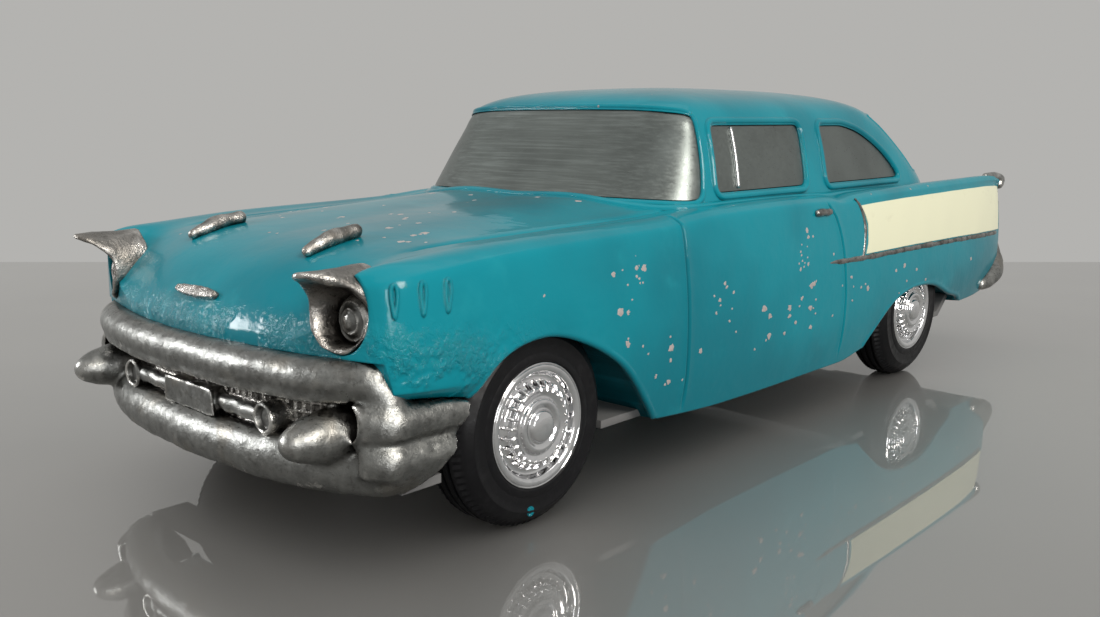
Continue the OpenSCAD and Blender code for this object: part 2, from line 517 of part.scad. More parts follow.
// Window inserts lie a little below the skin. All are bare metal.
glass_sink = 0.25;
glass_t = 1.3;
module windscreen() {
    color(bare) sheet(trimmed(screen_grid(-glass_sink, fit_gap), fit_gap),
        trimmed(screen_grid(-glass_sink - glass_t, fit_gap), fit_gap));
}
module rear_window() {
    color(bare) sheet(trimmed(rear_grid(-glass_sink, fit_gap), fit_gap),
        trimmed(rear_grid(-glass_sink - glass_t, fit_gap), fit_gap));
}
module side_glass(t) {
    sheet(side_grid(t, -glass_sink), side_grid(t, -glass_sink - glass_t));
}
module vent_bar() {
    hull() for (q = [[90.4, 52.6], [88.2, 43.6]])
        translate([cabin_side_x(q[0], q[1]) - glass_sink - trim_sink, Y(q[0]), Z(q[1])]) rotate([0, 90, 0])
            cylinder(r = 0.42, h = 0.75, $fn = 14);
}
module door_handle() {
    translate([flank_x(105.4, 37.6) - trim_sink - 0.5, Y(105.4), Z(38)]) rotate([0, 90, 0]) union() {
        hull() for (y = [0, 4]) translate([0, y, 0]) cylinder(r = 0.75, h = 1.5, $fn = 20);
    }
}
// Side trim follows the flank: points are [station, height].
trim_line = [[109.5, 28.7], [122.4, 28.35], [135, 28.3], [150, 28.2], [165, 28], [180, 27.7], [195, 27.4]];
trim_leg = [[122.6, 29], [123.4, 32], [123.4, 35], [122.2, 38], [120.6, 39.6]];
trim_w = 1.1;
trim_proud = 0.4;
module flank_bar(pts, w) {
    for (i = [0:len(pts) - 2]) hull() for (p = [pts[i], pts[i + 1]])
        translate([flank_x(p[0], p[1]) - trim_sink, Y(p[0]), Z(p[1])]) rotate([0, 90, 0])
            cylinder(r = w / 2, h = trim_sink + trim_proud, $fn = 10);
}
module side_trim() {
    union() {
        flank_bar(trim_line, trim_w);
        flank_bar(trim_leg, trim_w * 0.8);
    }
}
// Side panel: a thin sheet on the quarter between the trim and the fin.
panel_edge = [[0, 123.2], [0.25, 124.1], [0.55, 124.2], [0.8, 123.2], [1, 121.8]];
panel_proud = 0.15;
panel_drop = 2.2;
function panel_grid(x_off) = [for (i = [0:6]) let (v = i / 6, d0 = curve(panel_edge, v) + 0.4)
    [for (j = [0:10]) let (d = d0 + (197 - d0) * j / 10, z0 = curve(trim_line, d) + 0.62,
            z1 = curve(crown_z, d) - panel_drop, z = z0 + (z1 - z0) * v)
        [flank_x(d, z) + x_off, Y(d), Z(z)]]];
module side_panel() {
    sheet(panel_grid(panel_proud), panel_grid(-trim_sink));
}
module fin_cap() {
    translate([X(34), Y(tail_d) + bow(X(34), tail_d) * ky, Z(39.4)]) hull() {
        translate([0, -8, 1.6]) sphere(r = 0.7, $fn = 12);
        translate([0, 1.8, 0.6]) sphere(r = 1.2, $fn = 14);
        translate([0.3, 0.8, -0.6]) sphere(r = 1.2, $fn = 14);
    }
}
module tail_lamp() {
    translate([X(32.6), Y(tail_d) + bow(X(32.6), tail_d) * ky - trim_sink, 0]) rotate([-90, 0, 0]) hull() {
        translate([0, -Z(35.4), 0]) cylinder(r = 1.9, h = 1.6, $fn = 20);
        translate([0, -Z(28.8), 0]) cylinder(r = 2.1, h = 1.6, $fn = 20);
        translate([0, -Z(32), 2]) sphere(r = 1.1, $fn = 14);
    }
}
// Rear bumper: half width, station, height, radius of each ball along it.
rear_bar = [[0, 200.2, 18, 2.4], [14, 200.3, 18, 2.4], [25, 200.2, 18.2, 2.5], [32.5, 199.6, 19.4, 3],
    [35.2, 197.6, 17.8, 2.6], [35.8, 193, 16, 2], [35.6, 189.6, 15.2, 1.4]];
module rear_bumper() {
    color(bare) union() {
        both_sides() {
            ball_chain(rear_bar);
            hull() for (q = [[33.6, 199.9, 19.6, 3.1], [33, 200.6, 24.6, 1.6]]) ball(q);
        }
        hull() for (x = [-7, 7], z = [16.6, 21]) ball([x, 201.4, z, 1.4]);
    }
}

// Wheelset. Each wheel is drawn at the origin with its outer face towards +X.
axle_end = wheel_x - 1.6;
module axle() {
    rotate([0, 90, 0]) translate([0, 0, -axle_end]) cylinder(r = axle_r, h = 2 * axle_end, $fn = 32);
}
shoulder_r = 1.8;
tread_groove = 0.5;
module tyre() {
    color(black) translate([wheel_x - tyre_w, 0, 0]) rotate([0, 90, 0]) rotate_extrude($fn = 96) polygon([
        [seat_r, 0], [seat_r + 0.9, 0], [(seat_r + tyre_r) / 2, 0.05], [tyre_r - shoulder_r, 0.5],
        [tyre_r - 0.45, 1.3], [tyre_r, 2.1],
        [tyre_r, tyre_w * 0.33], [tyre_r - tread_groove, tyre_w * 0.33],
        [tyre_r - tread_groove, tyre_w * 0.39], [tyre_r, tyre_w * 0.39],
        [tyre_r, tyre_w * 0.61], [tyre_r - tread_groove, tyre_w * 0.61],
        [tyre_r - tread_groove, tyre_w * 0.67], [tyre_r, tyre_w * 0.67],
        [tyre_r, tyre_w - 2.1], [tyre_r - 0.45, tyre_w - 1.3], [tyre_r - shoulder_r, tyre_w - 0.5],
        [(seat_r + tyre_r) / 2, tyre_w - 0.05], [seat_r + 0.9, tyre_w], [seat_r, tyre_w]]);
}
disc_t = 2.2;
rib_count = 28;
// The rim lies level with the tyre, so that it turns clear of the rear skirts.
module wheel_disc() {
    color(bare) translate([wheel_x - disc_t, 0, 0]) rotate([0, 90, 0]) difference() {
        rotate_extrude($fn = 96) polygon([[0, 0], [seat_r, 0], [seat_r, disc_t - 0.1],
            [seat_r - 0.35, disc_t], [seat_r - 1.2, disc_t - 0.15],
            [seat_r * 0.78, disc_t - 0.9], [seat_r * 0.72, disc_t - 0.9],
            [seat_r * 0.66, disc_t], [seat_r * 0.46, disc_t + 0.5], [seat_r * 0.4, disc_t - 0.1],
            [seat_r * 0.32, disc_t - 0.1], [seat_r * 0.28, disc_t + 0.9],
            [seat_r * 0.12, disc_t + 1.15], [0, disc_t + 1.2]]);
        translate([0, 0, -1]) cylinder(r = axle_r, h = 1 + disc_t - 1.6, $fn = 32);
        for (i = [0:rib_count - 1]) rotate([0, 0, i * 360 / rib_count])
            translate([seat_r * 0.66, -0.18, disc_t - 0.3]) cube([1, 0.36, 1]);
    }
}
module wheel_hub() {
    color(black) translate([wheel_x - tyre_w + 0.6, 0, 0]) rotate([0, 90, 0]) difference() {
        union() {
            cylinder(r = seat_r, h = tyre_w - 0.6 - disc_t, $fn = 64);
            translate([0, 0, -1]) cylinder(r = 3, h = 1.2, $fn = 32);
        }
        translate([0, 0, -2]) cylinder(r = axle_r, h = tyre_w + 3, $fn = 32);
        difference() {
            translate([0, 0, -1.5]) cylinder(r = seat_r - 1.2, h = 1.5 + tyre_w - disc_t - 2.2, $fn = 64);
            translate([0, 0, -2]) cylinder(r = 3, h = tyre_w + 3, $fn = 32);
        }
    }
}
module at_wheel(y, side) {
    translate([0, y, axle_z]) mirror([side < 0 ? 1 : 0, 0, 0]) children();
}
module on_side(side) {
    mirror([side < 0 ? 1 : 0, 0, 0]) children();
}

body_shell();
base_plate();
front_bumper();
grille_insert();
grille_bar();
color(bare) on_side(1) parking_lamp();  // parking_lamp_left
color(bare) on_side(-1) parking_lamp();  // parking_lamp_right
color(bare) on_side(1) headlight_bezel();  // headlight_bezel_left
color(bare) on_side(-1) headlight_bezel();  // headlight_bezel_right
color(bare) on_side(1) headlight_lens();  // headlight_lens_left
color(bare) on_side(-1) headlight_lens();  // headlight_lens_right
color(bare) on_side(1) hood_spear();  // hood_spear_left
color(bare) on_side(-1) hood_spear();  // hood_spear_right
hood_badge();
windscreen();
rear_window();
color(bare) on_side(1) side_glass(door_glass);  // door_window_left
color(bare) on_side(-1) side_glass(door_glass);  // door_window_right
color(bare) on_side(1) side_glass(quarter_glass);  // quarter_window_left
color(bare) on_side(-1) side_glass(quarter_glass);  // quarter_window_right
color(bare) on_side(1) vent_bar();  // vent_bar_left
color(bare) on_side(-1) vent_bar();  // vent_bar_right
color(bare) on_side(1) door_handle();  // door_handle_left
color(bare) on_side(-1) door_handle();  // door_handle_right
color(bare) on_side(1) side_trim();  // side_trim_left
color(bare) on_side(-1) side_trim();  // side_trim_right
color(cream) on_side(1) side_panel();  // side_panel_left
color(cream) on_side(-1) side_panel();  // side_panel_right
color(bare) on_side(1) fin_cap();  // fin_cap_left
color(bare) on_side(-1) fin_cap();  // fin_cap_right
color(bare) on_side(1) tail_lamp();  // tail_lamp_left
color(bare) on_side(-1) tail_lamp();  // tail_lamp_right
rear_bumper();
base_screws();
color(bare) at_wheel(front_y, 1) axle();  // front_axle
color(bare) at_wheel(rear_y, 1) axle();  // rear_axle
at_wheel(front_y, 1) tyre();  // tyre_front_left
at_wheel(front_y, -1) tyre();  // tyre_front_right
at_wheel(rear_y, 1) tyre();  // tyre_rear_left
at_wheel(rear_y, -1) tyre();  // tyre_rear_right
at_wheel(front_y, 1) wheel_disc();  // wheel_disc_front_left
at_wheel(front_y, -1) wheel_disc();  // wheel_disc_front_right
at_wheel(rear_y, 1) wheel_disc();  // wheel_disc_rear_left
at_wheel(rear_y, -1) wheel_disc();  // wheel_disc_rear_right
at_wheel(front_y, 1) wheel_hub();  // wheel_hub_front_left
at_wheel(front_y, -1) wheel_hub();  // wheel_hub_front_right
at_wheel(rear_y, 1) wheel_hub();  // wheel_hub_rear_left
at_wheel(rear_y, -1) wheel_hub();  // wheel_hub_rear_right
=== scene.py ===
"""Looks of a diecast collector car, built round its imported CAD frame.

Shapes are modelled in millimetres in the frame's own axes (+Z up, nose towards -Y, left side +X) and
scaled to metres when a piece is finished. Stations d run back from the nose, as on the CAD part.
"""

import math

import bmesh
import bpy
import numpy as np
from mathutils import Matrix, Vector


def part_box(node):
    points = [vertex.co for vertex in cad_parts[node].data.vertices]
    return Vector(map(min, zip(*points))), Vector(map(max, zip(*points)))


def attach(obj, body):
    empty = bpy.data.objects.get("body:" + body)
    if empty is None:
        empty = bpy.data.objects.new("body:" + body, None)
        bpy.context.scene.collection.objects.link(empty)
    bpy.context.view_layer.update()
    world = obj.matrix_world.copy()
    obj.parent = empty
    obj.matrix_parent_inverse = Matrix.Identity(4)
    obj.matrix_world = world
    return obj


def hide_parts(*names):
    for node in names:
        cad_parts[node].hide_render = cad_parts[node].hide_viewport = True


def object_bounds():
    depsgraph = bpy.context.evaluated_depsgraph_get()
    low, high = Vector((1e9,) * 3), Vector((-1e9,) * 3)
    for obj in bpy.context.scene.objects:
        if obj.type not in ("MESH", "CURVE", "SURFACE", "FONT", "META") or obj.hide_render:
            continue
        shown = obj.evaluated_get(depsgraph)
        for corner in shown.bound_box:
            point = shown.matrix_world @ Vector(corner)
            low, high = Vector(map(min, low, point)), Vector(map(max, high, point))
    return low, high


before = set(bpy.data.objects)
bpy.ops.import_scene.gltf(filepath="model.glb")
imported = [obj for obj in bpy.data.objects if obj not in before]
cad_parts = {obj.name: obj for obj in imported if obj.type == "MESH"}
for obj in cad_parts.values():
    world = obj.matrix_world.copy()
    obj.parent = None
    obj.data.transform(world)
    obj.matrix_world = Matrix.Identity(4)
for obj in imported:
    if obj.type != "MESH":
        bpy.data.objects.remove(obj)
cad_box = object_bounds()

MM = 0.001
NOSE_Y = cad_box[0].y / MM
TAIL_D = 199.0
NOSE_D = 3.6
RNG = np.random.default_rng(57)


def node_box(name):
    """Lowest and highest corner of a CAD node, in millimetres."""
    lo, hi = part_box(name)
    return np.array(lo) / MM, np.array(hi) / MM


def Y(d):
    return NOSE_Y + d


# ---------------------------------------------------------------- camera, stage and light
CAM_AT = Vector((0.1265, -0.1635, 0.0545))
CAM_AZIMUTH, CAM_ELEVATION = math.radians(42.74), math.radians(10.39)
CAM_LENS = 33.88
TABLE_END = 0.191


def aim(obj, back):
    """Turns an object so that it looks along -back with its top up."""
    right = Vector((0, 0, 1)).cross(back).normalized()
    turn = Matrix((right, back.cross(right), back)).transposed()
    obj.matrix_world = Matrix.Translation(obj.location) @ turn.to_4x4()


def make_camera():
    data = bpy.data.cameras.new("camera")
    data.lens, data.sensor_width = CAM_LENS, 36
    data.clip_start, data.clip_end = 0.001, 20
    cam = bpy.data.objects.new("camera", data)
    bpy.context.scene.collection.objects.link(cam)
    cam.location = CAM_AT
    a, e = CAM_AZIMUTH, CAM_ELEVATION
    aim(cam, Vector((math.sin(a) * math.cos(e), -math.cos(a) * math.cos(e), math.sin(e))))
    bpy.context.scene.camera = cam


def area_light(name, at, target, size, power, colour=(1, 1, 1)):
    data = bpy.data.lights.new(name, "AREA")
    data.shape, data.size, data.size_y = "RECTANGLE", size[0], size[1]
    data.energy, data.color = power, colour
    lamp = bpy.data.objects.new(name, data)
    bpy.context.scene.collection.objects.link(lamp)
    lamp.location = at
    aim(lamp, (Vector(at) - Vector(target)).normalized())
    return lamp


# ---------------------------------------------------------------- material helpers
class Graph:
    """A Principled material and short calls that add nodes to it. Textures are in millimetres."""

    def __init__(self, name, **sockets):
        self.material = bpy.data.materials.new(name)
        self.material.use_nodes = True
        self.tree = self.material.node_tree
        self.bsdf = self.tree.nodes["Principled BSDF"]
        for key, value in sockets.items():
            self.bsdf.inputs[key.replace("_", " ")].default_value = value
        coord = self.add("ShaderNodeTexCoord").outputs["Object"]
        self.mm = self.scaled(coord, (1000, 1000, 1000))

    def add(self, kind, **settings):
        node = self.tree.nodes.new(kind)
        for key, value in settings.items():
            setattr(node, key, value)
        return node

    def put(self, socket, value):
        if isinstance(value, bpy.types.NodeSocket):
            self.tree.links.new(value, socket)
        else:
            socket.default_value = value

    def scaled(self, vector, by):
        node = self.add("ShaderNodeVectorMath", operation="MULTIPLY")
        self.put(node.inputs[0], vector)
        node.inputs[1].default_value = by
        return node.outputs[0]

    def noise(self, scale, detail=3.0, rough=0.55, vector=None, distortion=0.0):
        node = self.add("ShaderNodeTexNoise")
        self.put(node.inputs["Vector"], vector or self.mm)
        for key, value in (("Scale", scale), ("Detail", detail), ("Roughness", rough), ("Distortion", distortion)):
            node.inputs[key].default_value = value
        return node.outputs["Fac"]

    def cells(self, scale, output="Distance", vector=None, randomness=1.0):
        node = self.add("ShaderNodeTexVoronoi")
        self.put(node.inputs["Vector"], vector or self.mm)
        node.inputs["Scale"].default_value = scale
        node.inputs["Randomness"].default_value = randomness
        return node.outputs[output]

    def math(self, operation, a, b=0.0, clamp=False):
        node = self.add("ShaderNodeMath", operation=operation, use_clamp=clamp)
        self.put(node.inputs[0], a)
        self.put(node.inputs[1], b)
        return node.outputs[0]

    def step(self, value, low, high, out_low=0.0, out_high=1.0):
        """Smooth change from out_low to out_high as value goes from low to high."""
        node = self.add("ShaderNodeMapRange", interpolation_type="SMOOTHSTEP")
        for socket, v in zip(node.inputs[:5], (value, low, high, out_low, out_high)):
            self.put(socket, v)
        return node.outputs[0]

    def axis(self, index, vector=None):
        node = self.add("ShaderNodeSeparateXYZ")
        self.put(node.inputs[0], vector or self.mm)
        return node.outputs[index]

    def mix(self, factor, a, b):
        node = self.add("ShaderNodeMix", data_type="RGBA")
        self.put(node.inputs["Factor"], factor)
        for socket, v in ((node.inputs[6], a), (node.inputs[7], b)):
            self.put(socket, (*v, 1) if isinstance(v, tuple) else v)
        return node.outputs[2]

    def bump(self, height, distance, strength=1.0, normal=None):
        node = self.add("ShaderNodeBump")
        node.inputs["Strength"].default_value = strength
        node.inputs["Distance"].default_value = distance * MM
        self.put(node.inputs["Height"], height)
        if normal is not None:
            self.put(node.inputs["Normal"], normal)
        return node.outputs[0]

    def soft_edges(self, radius):
        node = self.add("ShaderNodeBevel", samples=4)
        node.inputs["Radius"].default_value = radius * MM
        return node.outputs[0]

    def worn(self, low=0.5, high=0.56):
        """1 on outer edges, 0 elsewhere."""
        return self.step(self.add("ShaderNodeNewGeometry").outputs["Pointiness"], low, high)

    def recess(self, reach):
        """0 in the open, 1 deep in a corner, from the AO node; used to paint shade into colours."""
        node = self.add("ShaderNodeAmbientOcclusion", samples=6)
        node.inputs["Distance"].default_value = reach * MM
        return self.math("SUBTRACT", 1.0, node.outputs["AO"])

    def set(self, **sockets):
        for key, value in sockets.items():
            self.put(self.bsdf.inputs[key.replace("_", " ")], value)
        return self.material


TEAL = (0.001, 0.225, 0.285)
TEAL_DEEP = (0.001, 0.165, 0.215)
TEAL_LIGHT = (0.012, 0.29, 0.345)
PRIMER = (0.37, 0.33, 0.32)
CREAM = (0.83, 0.83, 0.60)


def enamel(name, main, deep, light):
    """Thick glossy enamel over a casting: wavy, pitted low on the nose, with small chips, and darkened in the corners
    as painted shade.
    """
    g = Graph(name, Coat_Weight=0.65, Coat_Roughness=0.05, Coat_IOR=1.4, Specular_IOR_Level=0.05)
    tone = g.mix(g.step(g.noise(0.035, 2), 0.35, 0.65), main, deep)
    tone = g.mix(g.step(g.noise(0.12, 4, 0.6), 0.56, 0.78, 0, 0.35), tone, light)
    # painted shade: the teal is mixed towards a near-black teal where the AO node finds it shut in
    tone = g.mix(g.step(g.recess(2.0), 0.25, 0.9, 0, 0.75), tone, tuple(c * 0.35 for c in deep))
    front = g.step(g.axis(1), NOSE_Y + 40, NOSE_Y + 14)
    low = g.step(g.axis(2), 33, 24)
    patch = g.step(g.noise(0.16, 3, 0.6), 0.36, 0.56)
    pitted = g.math("MULTIPLY", g.math("MULTIPLY", front, low), patch)
    centre = g.cells(0.42)
    pick = g.axis(0, g.cells(0.42, "Color"))
    speck = g.math("MULTIPLY", g.step(centre, 0.13, 0.09), g.step(pick, 0.955, 0.96))
    size = g.noise(0.9, 2)
    chip = g.math("MULTIPLY", speck, g.step(size, 0.42, 0.5))
    tone = g.mix(chip, tone, PRIMER)
    wave = g.noise(0.22, 2, 0.5)
    peel = g.noise(0.85, 3, 0.6)
    pits = g.math("MULTIPLY", g.noise(1.25, 4, 0.65, distortion=0.8), pitted)
    grain = g.math("MULTIPLY", g.noise(3.2, 3, 0.6), g.math("MULTIPLY", front, 1.0))
    normal = g.bump(wave, 0.22, 0.5, g.soft_edges(0.35))
    normal = g.bump(peel, 0.035, 0.5, normal)
    normal = g.bump(grain, 0.03, 0.35, normal)
    normal = g.bump(pits, 0.8, 1.0, normal)
    normal = g.bump(chip, 0.09, 1.0, normal)
    rough = g.step(chip, 0, 1, 0.32, 0.7)
    return g.set(Base_Color=tone, Roughness=rough, Normal=normal, Coat_Normal=normal)


def cast_metal(name, base, dark, bright, rough, grain=1.0, metallic=1.0):
    """Bare grey casting: sandy grain, painted shade darkening the corners, rubbed bright on the outer edges."""
    g = Graph(name, Metallic=metallic)
    cloud = g.step(g.noise(0.3, 4, 0.6), 0.38, 0.68)
    tone = g.mix(cloud, base, tuple(c * 0.72 for c in base))
    stain = g.step(g.noise(0.9, 5, 0.7), 0.52, 0.7, 0, 0.45)
    tone = g.mix(stain, tone, dark)
    # painted shade: the casting is mixed towards the dark colour where the AO node finds it shut in
    tone = g.mix(g.step(g.recess(3.2), 0.18, 0.75, 0, 0.9), tone, dark)
    rubbed = g.math("MULTIPLY", g.worn(), g.step(g.noise(0.5, 3), 0.35, 0.6))
    tone = g.mix(rubbed, tone, bright)
    warm = g.step(g.noise(0.14, 2), 0.56, 0.7, 0, 0.3)
    tone = g.mix(warm, tone, (base[0] * 1.25, base[1] * 1.08, base[2] * 0.9))
    sand = g.noise(4.2, 3, 0.7)
    lump = g.noise(0.7, 3, 0.6)
    normal = g.bump(lump, 0.16 * grain, 0.6, g.soft_edges(0.3))
    normal = g.bump(sand, 0.05 * grain, 0.75, normal)
    roughness = g.math("ADD", g.step(g.noise(1.6, 4, 0.7), 0.3, 0.75, rough - 0.12, rough + 0.14), -0.06)
    roughness = g.mix(rubbed, roughness, (0.2, 0.2, 0.2))
    return g.set(Base_Color=tone, Roughness=roughness, Normal=normal)


def brushed_metal(name, base, rough, along=(0.05, 1.2, 2.4)):
    """Sanded window metal with fine streaks and a few cloudy marks."""
    g = Graph(name, Metallic=1.0)
    streaks = g.noise(1.0, 5, 0.7, g.scaled(g.mm, along))
    cloud = g.noise(0.10, 3, 0.55)
    tone = g.mix(g.step(cloud, 0.35, 0.7), base, tuple(c * 0.8 for c in base))
    tone = g.mix(g.step(streaks, 0.45, 0.75, 0, 0.35), tone, tuple(min(c * 1.35, 1) for c in base))
    normal = g.bump(streaks, 0.012, 0.6)
    normal = g.bump(g.noise(3.5, 3, 0.6), 0.02, 0.5, normal)
    return g.set(Base_Color=tone, Roughness=g.step(streaks, 0.3, 0.7, rough - 0.07, rough + 0.09), Normal=normal)


def chrome(name):
    g = Graph(name, Metallic=1.0)
    haze = g.step(g.noise(0.6, 4, 0.6), 0.45, 0.75)
    tone = g.mix(haze, (0.86, 0.86, 0.87), (0.74, 0.74, 0.76))
    # painted shade: the chrome is mixed towards near black where the AO node finds it shut in
    tone = g.mix(g.step(g.recess(1.0), 0.25, 0.9, 0, 0.8), tone, (0.12, 0.11, 0.1))
    rough = g.step(haze, 0, 1, 0.06, 0.16)
    normal = g.bump(g.noise(0.9, 2), 0.03, 0.4, g.soft_edges(0.1))
    return g.set(Base_Color=tone, Roughness=rough, Normal=normal)


def rubber(name):
    g = Graph(name, Specular_IOR_Level=0.22)
    dust = g.step(g.noise(0.5, 5, 0.7), 0.5, 0.8, 0, 0.5)
    tone = g.mix(dust, (0.006, 0.006, 0.007), (0.022, 0.022, 0.024))
    speck = g.math("MULTIPLY", g.step(g.cells(0.7), 0.12, 0.06), g.step(g.axis(0, g.cells(0.7, "Color")), 0.93, 0.95))
    tone = g.mix(g.math("MULTIPLY", speck, 0.5), tone, (0.2, 0.19, 0.17))
    normal = g.bump(g.noise(2.4, 3, 0.6), 0.025, 0.7, g.soft_edges(0.12))
    return g.set(Base_Color=tone, Roughness=g.step(g.noise(0.8, 3), 0.3, 0.7, 0.30, 0.48), Normal=normal)


def painted_cream(name):
    g = Graph(name, Coat_Weight=0.6, Coat_Roughness=0.15)
    smudge = g.step(g.noise(0.22, 5, 0.65, g.scaled(g.mm, (1, 0.6, 1))), 0.58, 0.74, 0, 0.28)
    tone = g.mix(smudge, CREAM, (0.55, 0.52, 0.36))
    fleck = g.math("MULTIPLY", g.step(g.cells(0.5), 0.12, 0.07), g.step(g.axis(0, g.cells(0.5, "Color")), 0.95, 0.96))
    tone = g.mix(fleck, tone, (0.35, 0.33, 0.28))
    normal = g.bump(g.noise(0.8, 3, 0.6), 0.04, 0.6, g.soft_edges(0.15))
    return g.set(Base_Color=tone, Roughness=g.step(smudge, 0, 0.28, 0.38, 0.5), Normal=normal)


def flat_black(name, tone=(0.018, 0.018, 0.019), rough=0.6):
    g = Graph(name)
    dust = g.step(g.noise(0.25, 5, 0.65), 0.45, 0.75, 0, 0.6)
    colour = g.mix(dust, tone, tuple(c * 2.4 + 0.01 for c in tone))
    colour = g.mix(g.worn(0.52, 0.6), colour, (0.16, 0.16, 0.16))
    normal = g.bump(g.noise(1.8, 4, 0.65), 0.05, 0.8, g.soft_edges(0.2))
    return g.set(Base_Color=colour, Roughness=g.step(dust, 0, 0.6, rough, rough + 0.2), Normal=normal)


def table_top(name):
    """Polished pale table with faint wipe marks, a little darker in large soft patches."""
    g = Graph(name, Specular_IOR_Level=0.5, Coat_Weight=1.0, Coat_IOR=1.9, Coat_Roughness=0.015)
    wipe = g.step(g.noise(0.006, 3, 0.5), 0.35, 0.7)
    tone = g.mix(wipe, (0.56, 0.545, 0.525), (0.50, 0.49, 0.475))
    return g.set(Base_Color=tone, Roughness=g.step(wipe, 0, 1, 0.35, 0.42))


# ---------------------------------------------------------------- mesh helpers, all in millimetres
def mesh_object(name, verts, faces):
    mesh = bpy.data.meshes.new(name)
    mesh.from_pydata([tuple(map(float, v)) for v in verts], [], [tuple(map(int, f)) for f in faces])
    obj = bpy.data.objects.new(name, mesh)
    bpy.context.scene.collection.objects.link(obj)
    fix = bmesh.new()
    fix.from_mesh(mesh)
    bmesh.ops.recalc_face_normals(fix, faces=fix.faces)
    fix.to_mesh(mesh)
    fix.free()
    return obj


def applied(obj):
    """Replaces the object's mesh with what its modifiers make."""
    graph = bpy.context.evaluated_depsgraph_get()
    mesh = bpy.data.meshes.new_from_object(obj.evaluated_get(graph))
    old = obj.data
    obj.modifiers.clear()
    obj.data = mesh
    bpy.data.meshes.remove(old)
    return obj


def modified(obj, kind, **settings):
    mod = obj.modifiers.new(kind.lower(), kind)
    for key, value in settings.items():
        setattr(mod, key, value)
    return applied(obj)


def boolean(obj, tool, operation):
    modified(obj, "BOOLEAN", object=tool, operation=operation, solver="MANIFOLD")
    bpy.data.objects.remove(tool)
    return obj


def cut(obj, *tools):
    for tool in tools:
        boolean(obj, tool, "DIFFERENCE")
    return obj


def joined(obj, *others):
    for other in others:
        boolean(obj, other, "UNION")
    return obj


def merged(name, objs):
    """One object holding several closed meshes, left overlapping."""
    work = bmesh.new()
    for o in objs:
        work.from_mesh(o.data)
        bpy.data.objects.remove(o)
    mesh = bpy.data.meshes.new(name)
    work.to_mesh(mesh)
    work.free()
    obj = bpy.data.objects.new(name, mesh)
    bpy.context.scene.collection.objects.link(obj)
    return obj


def mirror_x(obj):
    copy = bpy.data.objects.new(obj.name + "_m", obj.data.copy())
    bpy.context.scene.collection.objects.link(copy)
    copy.data.transform(Matrix.Scale(-1, 4, (1, 0, 0)))
    copy.data.flip_normals()
    return copy


def both_sides(obj):
    return [obj, mirror_x(obj)]


def finish_piece(obj, name, material, nodes=(), body="car", smooth=35):
    """Names a piece, scales it to metres and hands it to the frame."""
    obj.name = obj.data.name = name
    obj.data.transform(Matrix.Scale(MM, 4))
    obj.data.materials.clear()
    obj.data.materials.append(material)
    obj.data.shade_smooth()
    if smooth:
        obj.data.set_sharp_from_angle(angle=math.radians(smooth))
    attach(obj, body)
    if nodes:
        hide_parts(*nodes)
    return obj


def finish_pair(obj, base, material, body="car", smooth=35, nodes=None):
    """The left piece and its mirror image, standing for the nodes base_left and base_right."""
    right = mirror_x(obj)
    for o, side in ((obj, "left"), (right, "right")):
        held = [n.format(side) for n in nodes] if nodes else [f"{base}_{side}"]
        finish_piece(o, f"{base}_{side}", material, held, body, smooth)


def grid_faces(rows, cols, start=0, loop_cols=False, loop_rows=False):
    faces = []
    for i in range(rows if loop_rows else rows - 1):
        for j in range(cols if loop_cols else cols - 1):
            a, b = start + i * cols + j, start + i * cols + (j + 1) % cols
            c, d = start + (i + 1) % rows * cols + (j + 1) % cols, start + (i + 1) % rows * cols + j
            faces.append((a, b, c, d))
    return faces


def loft(name, rings):
    """A closed solid through rings of equal size, with a flat cap on each end."""
    rings = np.asarray(rings, float)
    m, n = rings.shape[:2]
    faces = grid_faces(m, n, loop_cols=True)
    faces.append(tuple(range(n - 1, -1, -1)))
    faces.append(tuple((m - 1) * n + k for k in range(n)))
    return mesh_object(name, rings.reshape(-1, 3), faces)


def sheet(name, outer, inner):
    """A closed sheet between two grids of the same shape."""
    outer, inner = np.asarray(outer, float), np.asarray(inner, float)
    m, n = outer.shape[:2]
    c = m * n
    rim = list(range(n)) + [i * n + n - 1 for i in range(1, m)]
    rim += [(m - 1) * n + j for j in range(n - 2, -1, -1)] + [i * n for i in range(m - 2, 0, -1)]
    faces = grid_faces(m, n) + [f[::-1] for f in grid_faces(m, n, c)]
    faces += [(rim[k], c + rim[k], c + rim[(k + 1) % len(rim)], rim[(k + 1) % len(rim)]) for k in range(len(rim))]
    return mesh_object(name, np.concatenate([outer.reshape(-1, 3), inner.reshape(-1, 3)]), faces)


def lathe(name, profile, segments, turn=(0, 0, 1)):
    """Turns a (radius, height) profile about an axis. Its ends lie on the axis."""
    profile = np.asarray(profile, float)
    body, n = profile[1:-1], segments
    verts = [(0, 0, profile[0][1])]
    for r, h in body:
        for k in range(n):
            a = 2 * math.pi * k / n
            verts.append((r * math.cos(a), r * math.sin(a), h))
    verts.append((0, 0, profile[-1][1]))
    last = len(verts) - 1
    faces = grid_faces(len(body), n, 1, loop_cols=True)
    faces += [(0, 1 + (k + 1) % n, 1 + k) for k in range(n)]
    faces += [(last, last - n + k, last - n + (k + 1) % n) for k in range(n)]
    obj = mesh_object(name, verts, faces)
    if turn != (0, 0, 1):
        obj.data.transform(Vector((0, 0, 1)).rotation_difference(Vector(turn)).to_matrix().to_4x4())
    return obj


def resampled(points, step, closed=False):
    """Points evenly spaced along a polyline."""
    pts = np.asarray(points, float)
    if closed:
        pts = np.vstack([pts, pts[:1]])
    length = np.concatenate([[0], np.cumsum(np.linalg.norm(np.diff(pts, axis=0), axis=1))])
    count = max(int(round(length[-1] / step)), 2)
    at = np.linspace(0, length[-1], count + 1)
    out = np.stack([np.interp(at, length, pts[:, k]) for k in range(pts.shape[1])], axis=1)
    return out[:-1] if closed else out


